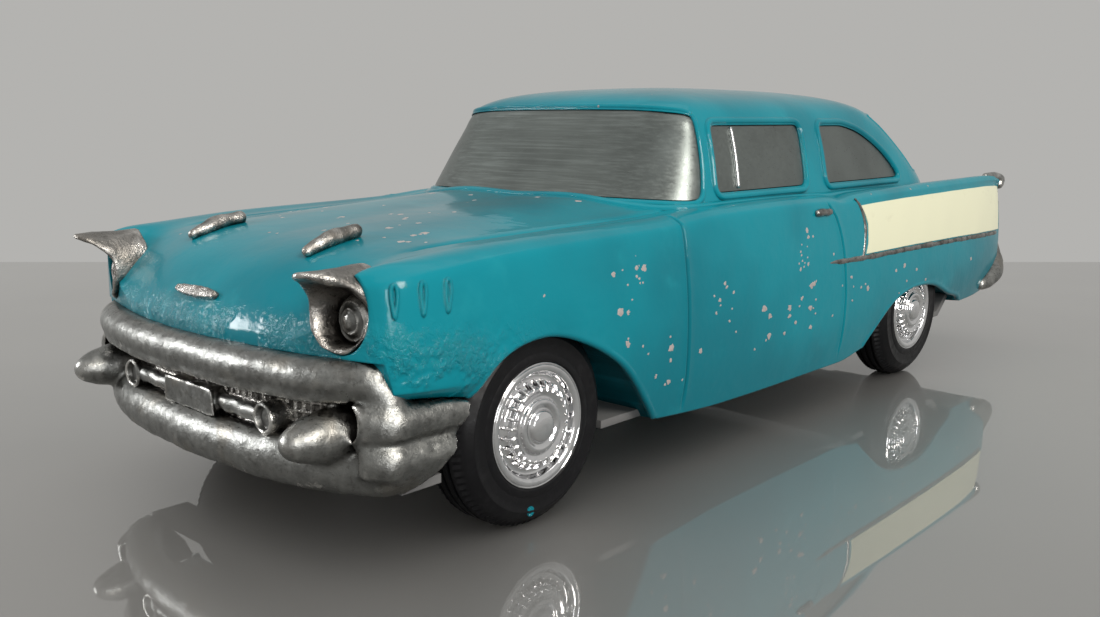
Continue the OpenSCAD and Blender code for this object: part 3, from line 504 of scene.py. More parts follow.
def tube(name, path, radius, squash=(1, 1), up=(0, 0, 1), segments=16, closed=False):
    """A swept tube with round ends. radius is a number or one per point; squash scales side and up."""
    p = np.asarray(path, float)
    n = len(p)
    r = np.broadcast_to(np.asarray(radius, float), (n,)).copy()
    t = np.roll(p, -1, 0) - np.roll(p, 1, 0) if closed else np.gradient(p, axis=0)
    t /= np.linalg.norm(t, axis=1)[:, None]
    up = np.asarray(up, float)
    side = np.cross(t, up)
    side /= np.maximum(np.linalg.norm(side, axis=1), 1e-9)[:, None]
    top = np.cross(side, t)
    rings = []
    caps = [] if closed else [0.2, 0.55, 0.83]
    for sign, index in ((-1, 0),) if not closed else ():
        for c in caps:
            rings.append((p[index] + sign * t[index] * r[index] * math.sqrt(1 - c * c), r[index] * c, index))
    rings += [(p[k], r[k], k) for k in range(n)]
    if not closed:
        for c in caps[::-1]:
            rings.append((p[-1] + t[-1] * r[-1] * math.sqrt(1 - c * c), r[-1] * c, n - 1))
    verts = []
    for centre, rad, k in rings:
        for a in np.linspace(0, 2 * math.pi, segments, endpoint=False):
            verts.append(centre + rad * (side[k] * math.cos(a) * squash[0] + top[k] * math.sin(a) * squash[1]))
    m = len(rings)
    faces = grid_faces(m, segments, loop_cols=True, loop_rows=closed)
    if not closed:
        faces.append(tuple(range(segments - 1, -1, -1)))
        faces.append(tuple((m - 1) * segments + k for k in range(segments)))
    return mesh_object(name, verts, faces)


def smooth_line(points, per_span):
    """Catmull-Rom through points, per_span steps a span."""
    p = np.asarray(points, float)
    out = []
    for i in range(len(p) - 1):
        a, b, c, d = p[max(i - 1, 0)], p[i], p[i + 1], p[min(i + 2, len(p) - 1)]
        for s in np.arange(per_span) / per_span:
            square, cube = 2 * a - 5 * b + 4 * c - d, 3 * b - a - 3 * c + d
            out.append(0.5 * (2 * b + (c - a) * s + square * s**2 + cube * s**3))
    out.append(p[-1])
    return np.array(out)


def prism_x(name, outline, x0, x1):
    """A (y, z) outline pushed along X."""
    pts = np.asarray(outline, float)
    return loft(name, [[(x, y, z) for y, z in pts] for x in (x0, x1)])


WAVES = 24


def roughened(obj, size, amount, seed=0):
    """Moves points along their normals by a sum of random waves, so that a casting isn't machine-perfect."""
    mesh, rng = obj.data, np.random.default_rng(seed)
    co, normal = np.empty((2, 3 * len(mesh.vertices)), np.float32)
    mesh.vertices.foreach_get("co", co)
    mesh.vertices.foreach_get("normal", normal)
    co, normal = co.reshape(-1, 3), normal.reshape(-1, 3)
    shift = np.zeros(len(co))
    for _ in range(WAVES):
        wave = rng.standard_normal(3) * 2.2 / size
        shift += np.sin(co @ wave + rng.uniform(0, 2 * math.pi))
    co += normal * (shift * amount / WAVES ** 0.5)[:, None]
    mesh.vertices.foreach_set("co", co.ravel())
    mesh.update()
    return obj


# ---------------------------------------------------------------- the car's curves, as on the CAD part
class Curve:
    """Monotone cubic through a table of (x, value) pairs."""

    def __init__(self, table):
        self.x, self.y = np.array(table, float).T
        chord = np.diff(self.y) / np.diff(self.x)
        self.m = np.concatenate([chord[:1], np.zeros(len(chord) - 1), chord[-1:]])
        a, b = chord[:-1], chord[1:]
        same = a * b > 0
        self.m[1:-1][same] = 2 * a[same] * b[same] / (a[same] + b[same])

    def __call__(self, x):
        q = np.clip(x, self.x[0], self.x[-1])
        i = np.clip(np.searchsorted(self.x, q, side="right") - 1, 0, len(self.x) - 2)
        h = self.x[i + 1] - self.x[i]
        s = (q - self.x[i]) / h
        return (self.y[i] * (1 + 2 * s) * (1 - s) ** 2 + self.y[i + 1] * s * s * (3 - 2 * s)
                + h * (self.m[i] * s * (1 - s) ** 2 - self.m[i + 1] * s * s * (1 - s)))


SILL_Z = Curve([(3.6, 22.3), (9, 22.2), (21, 20.9), (36, 13), (60, 9.9), (78, 8.8), (95, 8.6), (117, 8.6),
                (130, 10.2), (170, 12.8), (184, 13.1), (199, 14.4)])
SIDE_X = Curve([(3.6, 34.2), (5, 35.2), (8, 36.1), (12, 36.7), (20, 37.1), (42, 37.5), (112, 37.5), (150, 37.4),
                (180, 37), (194, 36.2), (199, 35.6)])
CROWN_Z = Curve([(3.6, 36.6), (6, 37.3), (10, 37.9), (18, 38.4), (32, 39.2), (62, 39.9), (76, 40.8), (98, 41),
                 (112, 40.7), (117, 40.2), (123, 40.6), (135, 40.9), (182, 41.2), (195, 40.9), (199, 40.2)])
CROWN_X = Curve([(3.6, 30.4), (10, 31), (20, 31.8), (42, 32.5), (76, 33), (120, 33.4), (165, 34), (199, 34)])
SEAM_X = Curve([(3.6, 23.5), (10, 24.6), (20, 26), (60, 28), (76, 29), (120, 29.5), (165, 30), (199, 30.4)])
SEAM_Z = Curve([(3.6, 29.3), (6, 32), (10, 35), (15, 37.3), (23, 38.4), (36, 38.9), (62, 39.7), (76, 40.7),
                (120, 40.4), (166, 39.6), (182, 38.2), (195, 36.6), (199, 35.6)])
HOOD_Z = Curve([(3.6, 28.4), (5, 30.6), (7, 33), (10, 35.6), (14, 37.4), (19, 38.6), (30, 39.7), (50, 40.9),
                (66, 41.7), (76, 41.8), (120, 41), (166, 40.4), (175, 39.6), (186, 37.6), (193, 35.4), (199, 31)])
SIDE_MID_Z, SHOULDER_DROP, SIDE_TUCK = 24.0, 2.4, 1.6
NOSE_BOW, BOW_FADE_D, TAIL_BOW, BOW_START_D = 6.2, 27.0, 0.6, 188.0
WALL = 1.8


def bow(x, d):
    """How far back of its station a point lies, because the nose and tail are bowed in plan."""
    side = np.minimum(np.abs(x) / 36, 1.05)
    nose = np.maximum(1 - np.maximum(d - NOSE_D, 0) / (BOW_FADE_D - NOSE_D), 0)
    tail = np.maximum(d - BOW_START_D, 0) / (TAIL_D - BOW_START_D)
    return NOSE_BOW * side**1.8 * nose**2 - TAIL_BOW * side**2 * tail**2


def half_keys(d, off):
    """Keys of the lower body's half section at stations d, shape (..., 10, 2)."""
    xs, zc, zr = SIDE_X(d), CROWN_Z(d), SILL_Z(d)
    zs, xc, xe, zg, ze = zc - SHOULDER_DROP, CROWN_X(d), SEAM_X(d), HOOD_Z(d), SEAM_Z(d)
    keys = [(xs - SIDE_TUCK + off, zr + np.minimum(off, 0)), (xs - 0.4 + off, zr + 0.45 * (SIDE_MID_Z - zr)),
            (xs + off, SIDE_MID_Z + 0 * d), (xs - 0.25 + off, (SIDE_MID_Z + zs) / 2),
            (xs - 1.1 + off * 0.9, zs + off * 0.3), ((xs + xc) / 2 + 0.1 + off * 0.6, zc - 0.7 + off * 0.7),
            (xc + off * 0.2, zc + off), (xe + off * 0.1, ze + off), (xe / 2, zg + 0.15 + off), (0 * d, zg + off)]
    return np.stack([np.stack(np.broadcast_arrays(x, z), axis=-1) for x, z in keys], axis=-2)


def section_point(d, v, off=0.0):
    """x and z at stations d and section parameters v, from 0 at the sill to 9 on the centreline."""
    d, v, off = np.broadcast_arrays(*map(lambda q: np.asarray(q, float), (d, v, off)))
    keys = half_keys(d, off)
    i = np.clip(np.floor(v).astype(int), 0, 8)
    s = (v - i)[..., None]
    pick = lambda k: np.take_along_axis(keys, np.clip(k, 0, 9)[..., None, None], axis=-2)[..., 0, :]
    a, b, c, e = pick(i - 1), pick(i), pick(i + 1), pick(i + 2)
    p = 0.5 * (2 * b + (c - a) * s + (2 * a - 5 * b + 4 * c - e) * s**2 + (3 * b - a - 3 * c + e) * s**3)
    return p[..., 0], p[..., 1]


def flank_x(d, z):
    """Half width of the flank at a station and height."""
    xs, zs, zr = SIDE_X(d), CROWN_Z(d) - SHOULDER_DROP, SILL_Z(d)
    up = np.maximum((z - SIDE_MID_Z) / (zs - SIDE_MID_Z), 0)
    down = np.maximum((SIDE_MID_Z - z) / (SIDE_MID_Z - zr), 0)
    return xs - 1.1 * up**2 - SIDE_TUCK * down**2.4


# Greenhouse rings: z, half width, front, front corner x and y, rear, rear corner x and y.
CABIN = np.array([
    (36, 33.0, 63.0, 19, 11.6, 177, 14, 16), (39.6, 31.6, 65.6, 19, 11, 173.6, 14, 16),
    (42, 31.1, 67, 19, 10.5, 171.4, 13, 16), (45.5, 30.1, 69.6, 17, 9.2, 168.4, 13, 16),
    (49, 28.9, 72.2, 15, 7.6, 164.6, 13, 16), (52.5, 27.5, 74.8, 13, 5.9, 160.4, 13, 16),
    (54.6, 26.5, 76.2, 11, 4.9, 157, 13, 16), (56.4, 25.2, 77.4, 9, 5, 153.4, 12.6, 16),
    (57.8, 23.1, 79.4, 8.8, 5.6, 149, 12, 16), (58.9, 19.8, 82.8, 8.4, 6.4, 142.4, 10.6, 15),
    (59.7, 15, 88.4, 7, 7, 134, 8.4, 13), (60.2, 8.4, 96.4, 4.4, 6, 125, 5, 9), (60.4, 3, 104, 1.6, 3, 116, 1.8, 4)])
SIDE_BULGE, END_BOW = 0.5, 0.6
CABIN_FINE = smooth_line(CABIN, 8)


def cabin_row(z):
    """A greenhouse ring's values at a height."""
    return [float(np.interp(z, CABIN_FINE[:, 0], CABIN_FINE[:, k])) for k in range(8)]


def front_span(row, s, off=0.0):
    """Point of a ring's front: s from 0 on the centreline through 1 at the corner's start to 2 at its end."""
    _, w, f, fx, fy = row[:5]
    w, f = w + off, Y(f) - off
    if s <= 1:
        return (w - fx) * s, f - END_BOW * (1 - s * s)
    a = (s - 1) * math.pi / 2
    return w - fx + fx * math.sin(a), f + fy * (1 - math.cos(a))


def rear_span(row, s, off=0.0):
    w, r, rx, ry = row[1] + off, Y(row[5]) + off, row[6], row[7]
    if s <= 1:
        return (w - rx) * s, r + END_BOW * (1 - s * s)
    a = (s - 1) * math.pi / 2
    return w - rx + rx * math.sin(a), r - ry + ry * math.cos(a)


def half_ring(row, off=0.0, front=10, corner=12, side=36):
    pts = [front_span(row, s, off) for s in np.linspace(0, 1, front, endpoint=False)]
    pts += [front_span(row, 1 + s, off) for s in np.linspace(0, 1, corner, endpoint=False)]
    x0, y0 = front_span(row, 2, off)
    y1 = rear_span(row, 2, off)[1]
    pts += [(x0 + SIDE_BULGE * 4 * t * (1 - t), y0 + (y1 - y0) * t) for t in np.linspace(0, 1, side, endpoint=False)]
    pts += [rear_span(row, 2 - s, off) for s in np.linspace(0, 1, corner, endpoint=False)]
    return pts + [rear_span(row, 1 - s, off) for s in np.linspace(0, 1, front + 1)]


def cabin_side_x(d, z):
    row = cabin_row(z)
    front, rear = row[2] + row[4], row[5] - row[7]
    t = min(max((d - front) / (rear - front), 0), 1)
    return row[1] + SIDE_BULGE * 4 * t * (1 - t)


def cabin_solid(name, rows, off, floor):
    rings = []
    for k, row in enumerate(rows):
        z = floor if k == 0 else row[0] + (off if row[0] > 56 else 0)
        half = half_ring(row, off)
        rings.append([(x, y, z) for x, y in half] + [(-x, y, z) for x, y in half[-2:0:-1]])
    return loft(name, rings)


# ---------------------------------------------------------------- body shell
V_STEPS = np.concatenate([np.linspace(0, 2, 12, endpoint=False), np.linspace(2, 4, 8, endpoint=False),
                          np.linspace(4, 6, 16, endpoint=False), np.linspace(6, 6.84, 9),
                          [6.9, 6.95, 7.0, 7.05, 7.1], np.linspace(7.18, 9, 20)])
CROWN_AT = int(np.argmin(np.abs(V_STEPS - 6)))
GROOVE = (-0.75, -0.48, -0.3, -0.15, 0, 0.15, 0.3, 0.48, 0.75)
FRONT_SEAM_D, REAR_SEAM_D, LID_SEAM_D = 65.5, 114.0, 177.0
FRONT_SEAM = Curve([(8, 66.1), (11.6, 65.9), (24, 65.4), (37.5, 65), (42, 64.9)])
REAR_SEAM = Curve([(8, 116.3), (21.1, 116), (24.9, 115.5), (31.4, 114.4), (36.4, 112.4), (39.1, 109.8), (42, 107)])
SEAM_REACH = 15.0


def stations(fine):
    """Station list: close at the nose, at the door seams and at the tail."""
    base = [3.6, 3.8, 4.1, 4.5, 5, 5.6, 6.3, 7.1, 8, 9, 10.1, 11.3, 12.6, 14]
    marks = [base[-1], FRONT_SEAM_D, REAR_SEAM_D, LID_SEAM_D, 197]
    out = list(base)
    for a, b in zip(marks[:-1], marks[1:]):
        lo = a + (0 if a == base[-1] else GROOVE[-1])
        hi = b - (GROOVE[-1] if b != marks[-1] else 0)
        count = max(int(round((hi - lo) / fine)), 2)
        out += list(np.linspace(lo, hi, count + 1)[1:-1])
        if b != marks[-1]:
            out += [b + g for g in GROOVE]
    return np.array(sorted(out + [197, 197.8, 198.5, 199]))


def ramp(x, a, b):
    t = np.clip((x - a) / (b - a), 0, 1)
    return t * t * (3 - 2 * t)


def groove(t, depth, width):
    return depth * np.exp(-((t / width) ** 2)) - 0.16 * depth * np.exp(-(((np.abs(t) - 2.6 * width) / width) ** 2))


def lower_shell_points():
    """Outer skin of the lower body as a grid (station, half section), with its panel grooves pressed in."""
    base = stations(1.25)
    d = np.repeat(base[:, None], len(V_STEPS), axis=1)
    v = np.repeat(V_STEPS[None, :], len(base), axis=0)
    _, z = section_point(d, v)
    near = lambda seam: np.cos(np.clip((base - seam) / SEAM_REACH, -1, 1) * math.pi / 2)[:, None] ** 2
    front, rear = near(FRONT_SEAM_D), near(REAR_SEAM_D)
    skew = front * (FRONT_SEAM(z) - FRONT_SEAM_D) + rear * (REAR_SEAM(z) - REAR_SEAM_D)
    d = d + skew * ramp(v, 7.4, 6.2)
    x, z = section_point(d, v)
    pts = np.stack([x, Y(d) + bow(x, d), z], axis=-1)
    normal = np.cross(np.gradient(pts, axis=0), np.gradient(pts, axis=1))
    normal /= np.maximum(np.linalg.norm(normal, axis=-1, keepdims=True), 1e-9)
    normal *= np.sign((normal * (pts - (0, 0, 20))).sum(-1, keepdims=True) + 1e-9)
    t_base = base[:, None] + 0 * d
    side = ramp(v, 6.4, 5.8)
    depth = groove(t_base - FRONT_SEAM_D, 0.5, 0.2) * side * ramp(z, 10, 12.5)
    depth += groove(t_base - REAR_SEAM_D, 0.42, 0.2) * ramp(z, 39.8, 38.4) * side * ramp(z, 10, 13)
    inside = ramp(v, 6.9, 7.0)
    depth += groove(t_base - LID_SEAM_D, 0.4, 0.2) * inside
    along = ramp(base, 17, 24) * ramp(base, 73, 68) + ramp(base, 176.4, 177) * ramp(base, 197.5, 196)
    depth += groove((v - 7) * 5, 0.42, 0.24) * along[:, None]
    return pts - normal * depth[..., None]


def solid_from_half(name, half, floor_z):
    """Mirrors a grid of half sections and closes it below with a cambered floor."""
    m = half.shape[0]
    inner = half[:, CROWN_AT:]
    floor = inner.copy()
    floor[..., 2] = floor_z(half) if callable(floor_z) else floor_z
    flip = np.array([-1, 1, 1])
    top = np.concatenate([half, (half * flip)[:, -2::-1]], axis=1)
    low = np.concatenate([(floor * flip), floor[:, -2::-1]], axis=1)
    ring = np.concatenate([top, low], axis=1)
    count, total = len(V_STEPS), ring.shape[1]
    tops = 2 * count - 1
    faces = grid_faces(m, total, loop_cols=True)
    for row, order in ((0, 1), (m - 1, -1)):
        at = row * total
        cap = []
        for k in range(CROWN_AT, tops - 1 - CROWN_AT):
            under = lambda q: at + total - 1 - (q - CROWN_AT)
            cap.append((at + k, at + k + 1, under(k + 1), under(k)))
        cap.append(tuple(at + k for k in range(CROWN_AT + 1)) + (at + total - 1,))
        cap.append(tuple(at + k for k in range(tops - 1 - CROWN_AT, tops)) + (at + tops,))
        faces += [f[::order] for f in cap]
    return mesh_object(name, ring.reshape(-1, 3), faces)


def lower_inner_points():
    base = np.concatenate([[NOSE_D], np.arange(6, 196, 3.0), [TAIL_D]])
    d = np.repeat(base[:, None], len(V_STEPS), axis=1)
    v = np.repeat(V_STEPS[None, :], len(base), axis=0)
    clipped = np.clip(d, NOSE_D + WALL, TAIL_D - WALL)
    x, z = section_point(clipped, v, -WALL)
    return np.stack([x, Y(clipped) + bow(x, clipped), z], axis=-1)


ARCH_FRONT = [(-1.05, -0.9), (-1.03, -0.25), (-0.99, 0.42), (-0.6, 0.8), (-0.06, 0.915), (0.48, 0.78),
              (1.06, 0.46), (1.5, 0.0), (1.84, -0.45), (1.9, -0.9)]
ARCH_REAR = [(-1.95, -0.9), (-1.8, -0.4), (-1.42, -0.02), (-0.98, 0.27), (-0.5, 0.4), (0, 0.42),
             (0.5, 0.36), (1.1, 0.16), (1.75, -0.08), (1.9, -0.9)]


def wheel_facts(node):
    lo, hi = node_box(node)
    return (lo[1] + hi[1]) / 2, (lo[2] + hi[2]) / 2, (hi[2] - lo[2]) / 2, hi[0]


FRONT_Y, AXLE_Z, TYRE_R, WHEEL_X = wheel_facts("tyre_front_left")
REAR_Y = wheel_facts("tyre_rear_left")[0]


def arch_line(table, y):
    return smooth_line(table, 8) * TYRE_R + (y, AXLE_Z)


def arch_lip(table, y):
    """A rolled edge round a wheel opening."""
    pts = []
    for py, pz in resampled(arch_line(table, y), 0.8):
        d = py - NOSE_Y
        if pz > SILL_Z(d) + 0.2:
            x = float(flank_x(d, pz))
            pts.append((x - 0.55, py + float(bow(x, d)), pz))
    return tube("lip", pts, 0.62, up=(1, 0, 0), segments=12)


DOOR_GLASS = [(42.6, 81.9, 109.8), (48, 83.2, 111.2), (53.3, 84.5, 112.6)]
QUARTER_GLASS = [(42.6, 118.1, 149.4), (45, 118.6, 147.3), (47.6, 119.2, 144.2), (50.4, 119.8, 139.4),
                 (52.2, 120.2, 134.6), (53.1, 120.4, 129.6)]


def glass_outline(table, grow=0.0, radius=1.0):
    """Closed (station, height) outline of a side window with rounded corners, grown by grow."""
    front, rear = Curve([(r[0], r[1]) for r in table]), Curve([(r[0], r[2]) for r in table])
    z0, z1 = table[0][0], table[-1][0]
    rows = np.linspace(z0, z1, 26)
    poly = [(float(front(z)), z) for z in rows] + [(float(rear(z)), z) for z in rows[::-1]]
    poly = resampled(poly, 0.5, closed=True)
    for _ in range(int(radius * 6)):
        poly = 0.5 * poly + 0.25 * (np.roll(poly, 1, 0) + np.roll(poly, -1, 0))
    out = np.roll(poly, -1, 0) - np.roll(poly, 1, 0)
    normal = np.stack([-out[:, 1], out[:, 0]], axis=1)
    normal /= np.linalg.norm(normal, axis=1)[:, None]
    return poly + normal * grow


def window_cutter(table):
    return prism_x("cutter", [(Y(d), z) for d, z in glass_outline(table, 0.12)], 20, 60)


def window_frame(table, grow, radius, out=0.0):
    pts = [(cabin_side_x(d, z) + out, Y(d), z) for d, z in glass_outline(table, grow)]
    return tube("frame", pts, radius, up=(1, 0, 0), segments=10, closed=True)


def screen_low(t):
    return 42.1 - 0.8 * abs(t) ** 2.4 + 1.1 * abs(t) ** 24


def screen_high(t):
    return 56.1 - 1.2 * abs(t) ** 2.2 - 1.0 * abs(t) ** 24


def rear_low(t):
    return 43.2 + 0.7 * t * t


def rear_high(t):
    return 55.4 - 1.4 * abs(t) ** 2.5


def screen_point(t, z, off, span=front_span, reach=2.0):
    """Point of the windscreen or rear window: t from -1 to 1 across it."""
    s = abs(t) * 8
    s = s / 3 if s <= 3 else 1 + (s - 3) / 5
    x, y = span(cabin_row(z), min(s, reach), off)
    return (math.copysign(x, t) if t else 0.0, y, z)


def screen_grid(low, high, off, trim, span, t_end=1.0, rows=24, cols=60):
    grid = []
    for i in range(rows + 1):
        row = []
        for j in range(cols + 1):
            t = (-1 + 2 * j / cols) * (t_end - trim / 60)
            z0, z1 = low(t) + trim, high(t) - trim
            row.append(screen_point(t, z0 + (z1 - z0) * i / rows, off, span))
        grid.append(row)
    return grid


def screen_solid(low, high, outer, inner, trim, span, t_end=1.0):
    return sheet("screen", screen_grid(low, high, outer, trim, span, t_end),
                 screen_grid(low, high, inner, trim, span, t_end))


def edge_tube(low, high, span, t_end, grow, radius, out):
    """A rib all round the windscreen or rear window."""
    ts = np.linspace(-t_end, t_end, 81)
    ring = [(t, low(t) - grow) for t in ts]
    ring += [(t_end + grow / 60, z) for z in np.linspace(low(t_end), high(t_end), 14)[1:-1]]
    ring += [(t, high(t) + grow) for t in ts[::-1]]
    ring += [(-t_end - grow / 60, z) for z in np.linspace(high(t_end), low(t_end), 14)[1:-1]]
    pts = np.array([screen_point(t, z, out, span) for t, z in ring])
    pts = resampled(pts, 0.7, closed=True)
    for _ in range(2):
        pts = 0.5 * pts + 0.25 * (np.roll(pts, 1, 0) + np.roll(pts, -1, 0))
    return tube("rib", pts, radius, up=(0, -0.6, 0.8), segments=10, closed=True)


BELT_Z = 41.2


def belt_fillet():
    """A soft swelling where the greenhouse meets the deck, all the way round."""
    half = []
    for k, (x, y) in enumerate(half_ring(cabin_row(BELT_Z), 0, 14, 16, 60)):
        d = y - NOSE_Y
        v = np.linspace(6, 9, 61)
        xs, zs = section_point(np.full(61, d), v)
        z = float(np.interp(-x, -xs, zs))
        fx, fy = half_ring(cabin_row(max(z, 39.8)), 0, 14, 16, 60)[k]
        half.append((fx, fy, z - 0.25))
    pts = half + [(-x, y, z) for x, y, z in half[-2:0:-1]]
    pts = resampled(pts, 0.8, closed=True)
    return tube("belt", pts, 0.95, squash=(1.0, 0.85), up=(0, 0, 1), segments=12, closed=True)


POD_X, POD_Z, POD_RX, POD_RZ = 28.8, 32.6, 4.0, 5.2
POD_BACK_D, LENS_SEAT_D, LENS_R, LENS_DROP = 11.5, 10.2, 3.1, 1.4


def rim_d(a):
    """Station of the headlight pod's rim: its top reaches forward as a visor."""
    up = math.sin(a)
    return 7.9 + 1.6 * math.cos(a) - (5.6 * up**2.2 if up > 0 else -0.8 * up)


POD_ANGLES = np.linspace(0, 2 * math.pi, 64, endpoint=False)


def pod_ring(scale, depth, grow=0.0):
    """Oval round the pod; depth is a station or a function of the angle."""
    return [(POD_X + (POD_RX * scale + grow) * math.cos(a), Y(depth(a) if callable(depth) else depth),
             POD_Z + (POD_RZ * scale + grow) * math.sin(a)) for a in POD_ANGLES]


LOUVRES = (6.6, 11.9, 16.8)


def teardrop(at, lean):
    """Loop round one fender vent on the flank: pointed at its foot and round at its head."""
    pts = []
    for a in np.linspace(0, 2 * math.pi, 28, endpoint=False):
        w = 0.75 * math.cos(a) * (0.62 + 0.38 * math.sin(a))
        z = 34.05 + 1.9 * math.sin(a)
        d = at + w + (z - 34.05) * lean
        x = float(flank_x(d, z))
        pts.append((x + 0.06, Y(d) + float(bow(x, d)), z))
    return tube("vent", pts, 0.27, up=(1, 0, 0), segments=8, closed=True)


def mouth_cutter():
    return prism_x("mouth", [(Y(-2), -1), (Y(-2), 26.9), (Y(9.6), 26.9), (Y(10.6), 22), (Y(10.6), -1)], -60, 60)


def tail_cutter():
    return prism_x("tail", [(Y(203), -1), (Y(188), -1), (Y(188), 12.6), (Y(193.4), 13.9), (Y(203), 17.6)], -60, 60)


def make_body(paint):
    outer = lower_shell_points()
    sill = lambda half: half[:, :1, 2] - 1.2 * (1 - (half[:, CROWN_AT:, 0] / 36) ** 2)
    body = solid_from_half("body", outer, sill)
    joined(body, cabin_solid("cabin", CABIN_FINE[::2], 0, 36))
    hollow = solid_from_half("hollow", lower_inner_points(), -5)
    joined(hollow, cabin_solid("hollow_top", CABIN_FINE[:-12:4], -WALL, 30))
    cut(body, hollow)
    posts = []
    for sx in (-13, 13):
        for d in (64, 183):
            top = float(HOOD_Z(d)) - 1.0
            post = lathe("post", [(0, 11), (3, 11), (3.3, top), (0, top)], 32)
            post.data.transform(Matrix.Translation((sx, Y(d), 0)))
            posts.append(post)
    joined(body, *posts)
    cut(body, mouth_cutter(), tail_cutter())
    for table, y in ((ARCH_FRONT, FRONT_Y), (ARCH_REAR, REAR_Y)):
        cut(body, prism_x("arch", arch_line(table, y), -60, 60))
    for table in (DOOR_GLASS, QUARTER_GLASS):
        cut(body, *both_sides(window_cutter(table)))
    cut(body, screen_solid(screen_low, screen_high, 1.5, -WALL - 1.5, 0, front_span))
    cut(body, screen_solid(rear_low, rear_high, 1.5, -WALL - 1.5, 0, rear_span, 0.875))
    cut(body, *both_sides(loft("pod_hole", [pod_ring(1, -4, 0.06), pod_ring(1, POD_BACK_D, 0.06)])))
    extras = [belt_fillet()]
    extras += both_sides(arch_lip(ARCH_FRONT, FRONT_Y)) + both_sides(arch_lip(ARCH_REAR, REAR_Y))
    extras += both_sides(window_frame(DOOR_GLASS, 0.85, 0.62, -0.12))
    extras += both_sides(window_frame(QUARTER_GLASS, 0.85, 0.62, -0.12))
    for at in LOUVRES:
        extras += both_sides(teardrop(at, 0.2))
    extras.append(edge_tube(screen_low, screen_high, front_span, 1.0, 0.55, 0.5, -0.15))
    extras.append(edge_tube(rear_low, rear_high, rear_span, 0.875, 0.5, 0.45, -0.3))
    joined(body, *extras)
    finish_piece(body, "body_shell_cast", paint, ["body_shell"], smooth=32)


# ---------------------------------------------------------------- windows
GLASS_SINK, GLASS_T = 0.25, 1.3


def make_windows(metal):
    for name, low, high, span, t_end in (("windscreen", screen_low, screen_high, front_span, 1.0),
                                         ("rear_window", rear_low, rear_high, rear_span, 0.875)):
        grid = screen_grid(low, high, -GLASS_SINK, 0.12, span, t_end, 40, 110)
        back = screen_grid(low, high, -GLASS_SINK - GLASS_T, 0.12, span, t_end, 40, 110)
        glass = sheet(name, grid, back)
        finish_piece(glass, name + "_metal", metal, [name])
    for name, table in (("door_window", DOOR_GLASS), ("quarter_window", QUARTER_GLASS)):
        line = glass_outline(table, -0.02)
        centre = line.mean(axis=0)
        rings = []
        for depth, scales in ((-GLASS_SINK - GLASS_T, (0.02, 1.0)),
                              (-GLASS_SINK, (1.0, 0.985, 0.9, 0.75, 0.5, 0.25, 0.02))):
            for s in scales:
                pts = centre + (line - centre) * s
                rings.append([(cabin_side_x(d, z) + depth, Y(d), z) for d, z in pts])
        finish_pair(loft(name, rings), name, metal)


# ---------------------------------------------------------------- front bumper and grille
UPPER_PLAN = Curve([(0, 0.9), (12, 1.4), (22, 3), (28, 5), (31.4, 7.4)])
LOWER_PLAN = Curve([(0, 1.6), (12, 2.2), (22, 4), (28.6, 6.4), (32.2, 8.8)])
BAR_R, UPPER_Z, LOWER_Z = 2.6, 24.4, 13.3
WING_ROWS = [(22, -1.2, 20.6), (21.2, -0.1, 21.4), (20, 0.5, 20.9), (18.4, 0.4, 20.2), (17.4, -0.5, 19.6),
             (16.4, 0.2, 18.9), (15, 0.6, 18), (13.6, 0.1, 16.8), (12, -1, 15.2), (10.3, -2.6, 12.4)]
WING_FRONT_D, WING_T = 7.0, 1.6
CORNER = [(31.4, 10, 24.2, 2.6), (33, 11, 21.6, 2.5), (33.2, 11, 17.6, 2.6), (32.4, 11, 13.4, 2.8)]


def bar(plan, reach, z, squash):
    xs = np.linspace(-reach, reach, 70)
    path = [(x, Y(float(plan(abs(x)))) + BAR_R, z) for x in xs]
    return tube("bar", path, BAR_R, squash=squash, segments=28)


def ball_path(balls, per_span=8):
    """A tube through (half width, station, height, radius) balls."""
    pts = smooth_line(balls, per_span)
    return tube("balls", [(x, Y(d), z) for x, d, z, _ in pts], pts[:, 3], segments=20)


def bullet():
    profile = [(0, 0.05), (0.9, 0.3), (1.6, 1.0), (2.3, 2.4), (2.9, 4.2), (3.35, 6.2), (3.55, 8.2), (3.6, 10),
               (3.5, 12.5), (0, 12.5)]
    tip = lathe("bullet", [(r, h) for r, h in smooth_line(profile[:-1], 4)] + [(0, 12.5)], 32, (0, 1, 0))
    tip.data.transform(Matrix.Translation((27.3, Y(0), 17.6)))
    return tip


def wing():
    rows = smooth_line(WING_ROWS[::-1], 5)
    cols = 36
    outer, inner = [], []
    for z, proud, rear in rows:
        line, back = [], []
        for j in range(cols + 1):
            front = WING_FRONT_D + 1.6 * max(13.6 - z, 0)
            d = front + (rear - front) * j / cols
            x = 35.95 + proud + 0.6 * j / cols - 2.8 * max(1 - j / 11, 0) ** 2
            top = min(z, float(SILL_Z(d)) - 0.1)
            line.append((x, Y(d), top))
            back.append((x - WING_T, Y(d), top))
        outer.append(line)
        inner.append(back)
    return sheet("wing", outer, inner)


def fused(name, parts, voxel, smooth_steps):
    """Closed solids melted into one casting with soft joints."""
    obj = merged(name, parts)
    modified(obj, "REMESH", mode="VOXEL", voxel_size=voxel, adaptivity=0)
    return modified(obj, "SMOOTH", factor=0.5, iterations=smooth_steps)


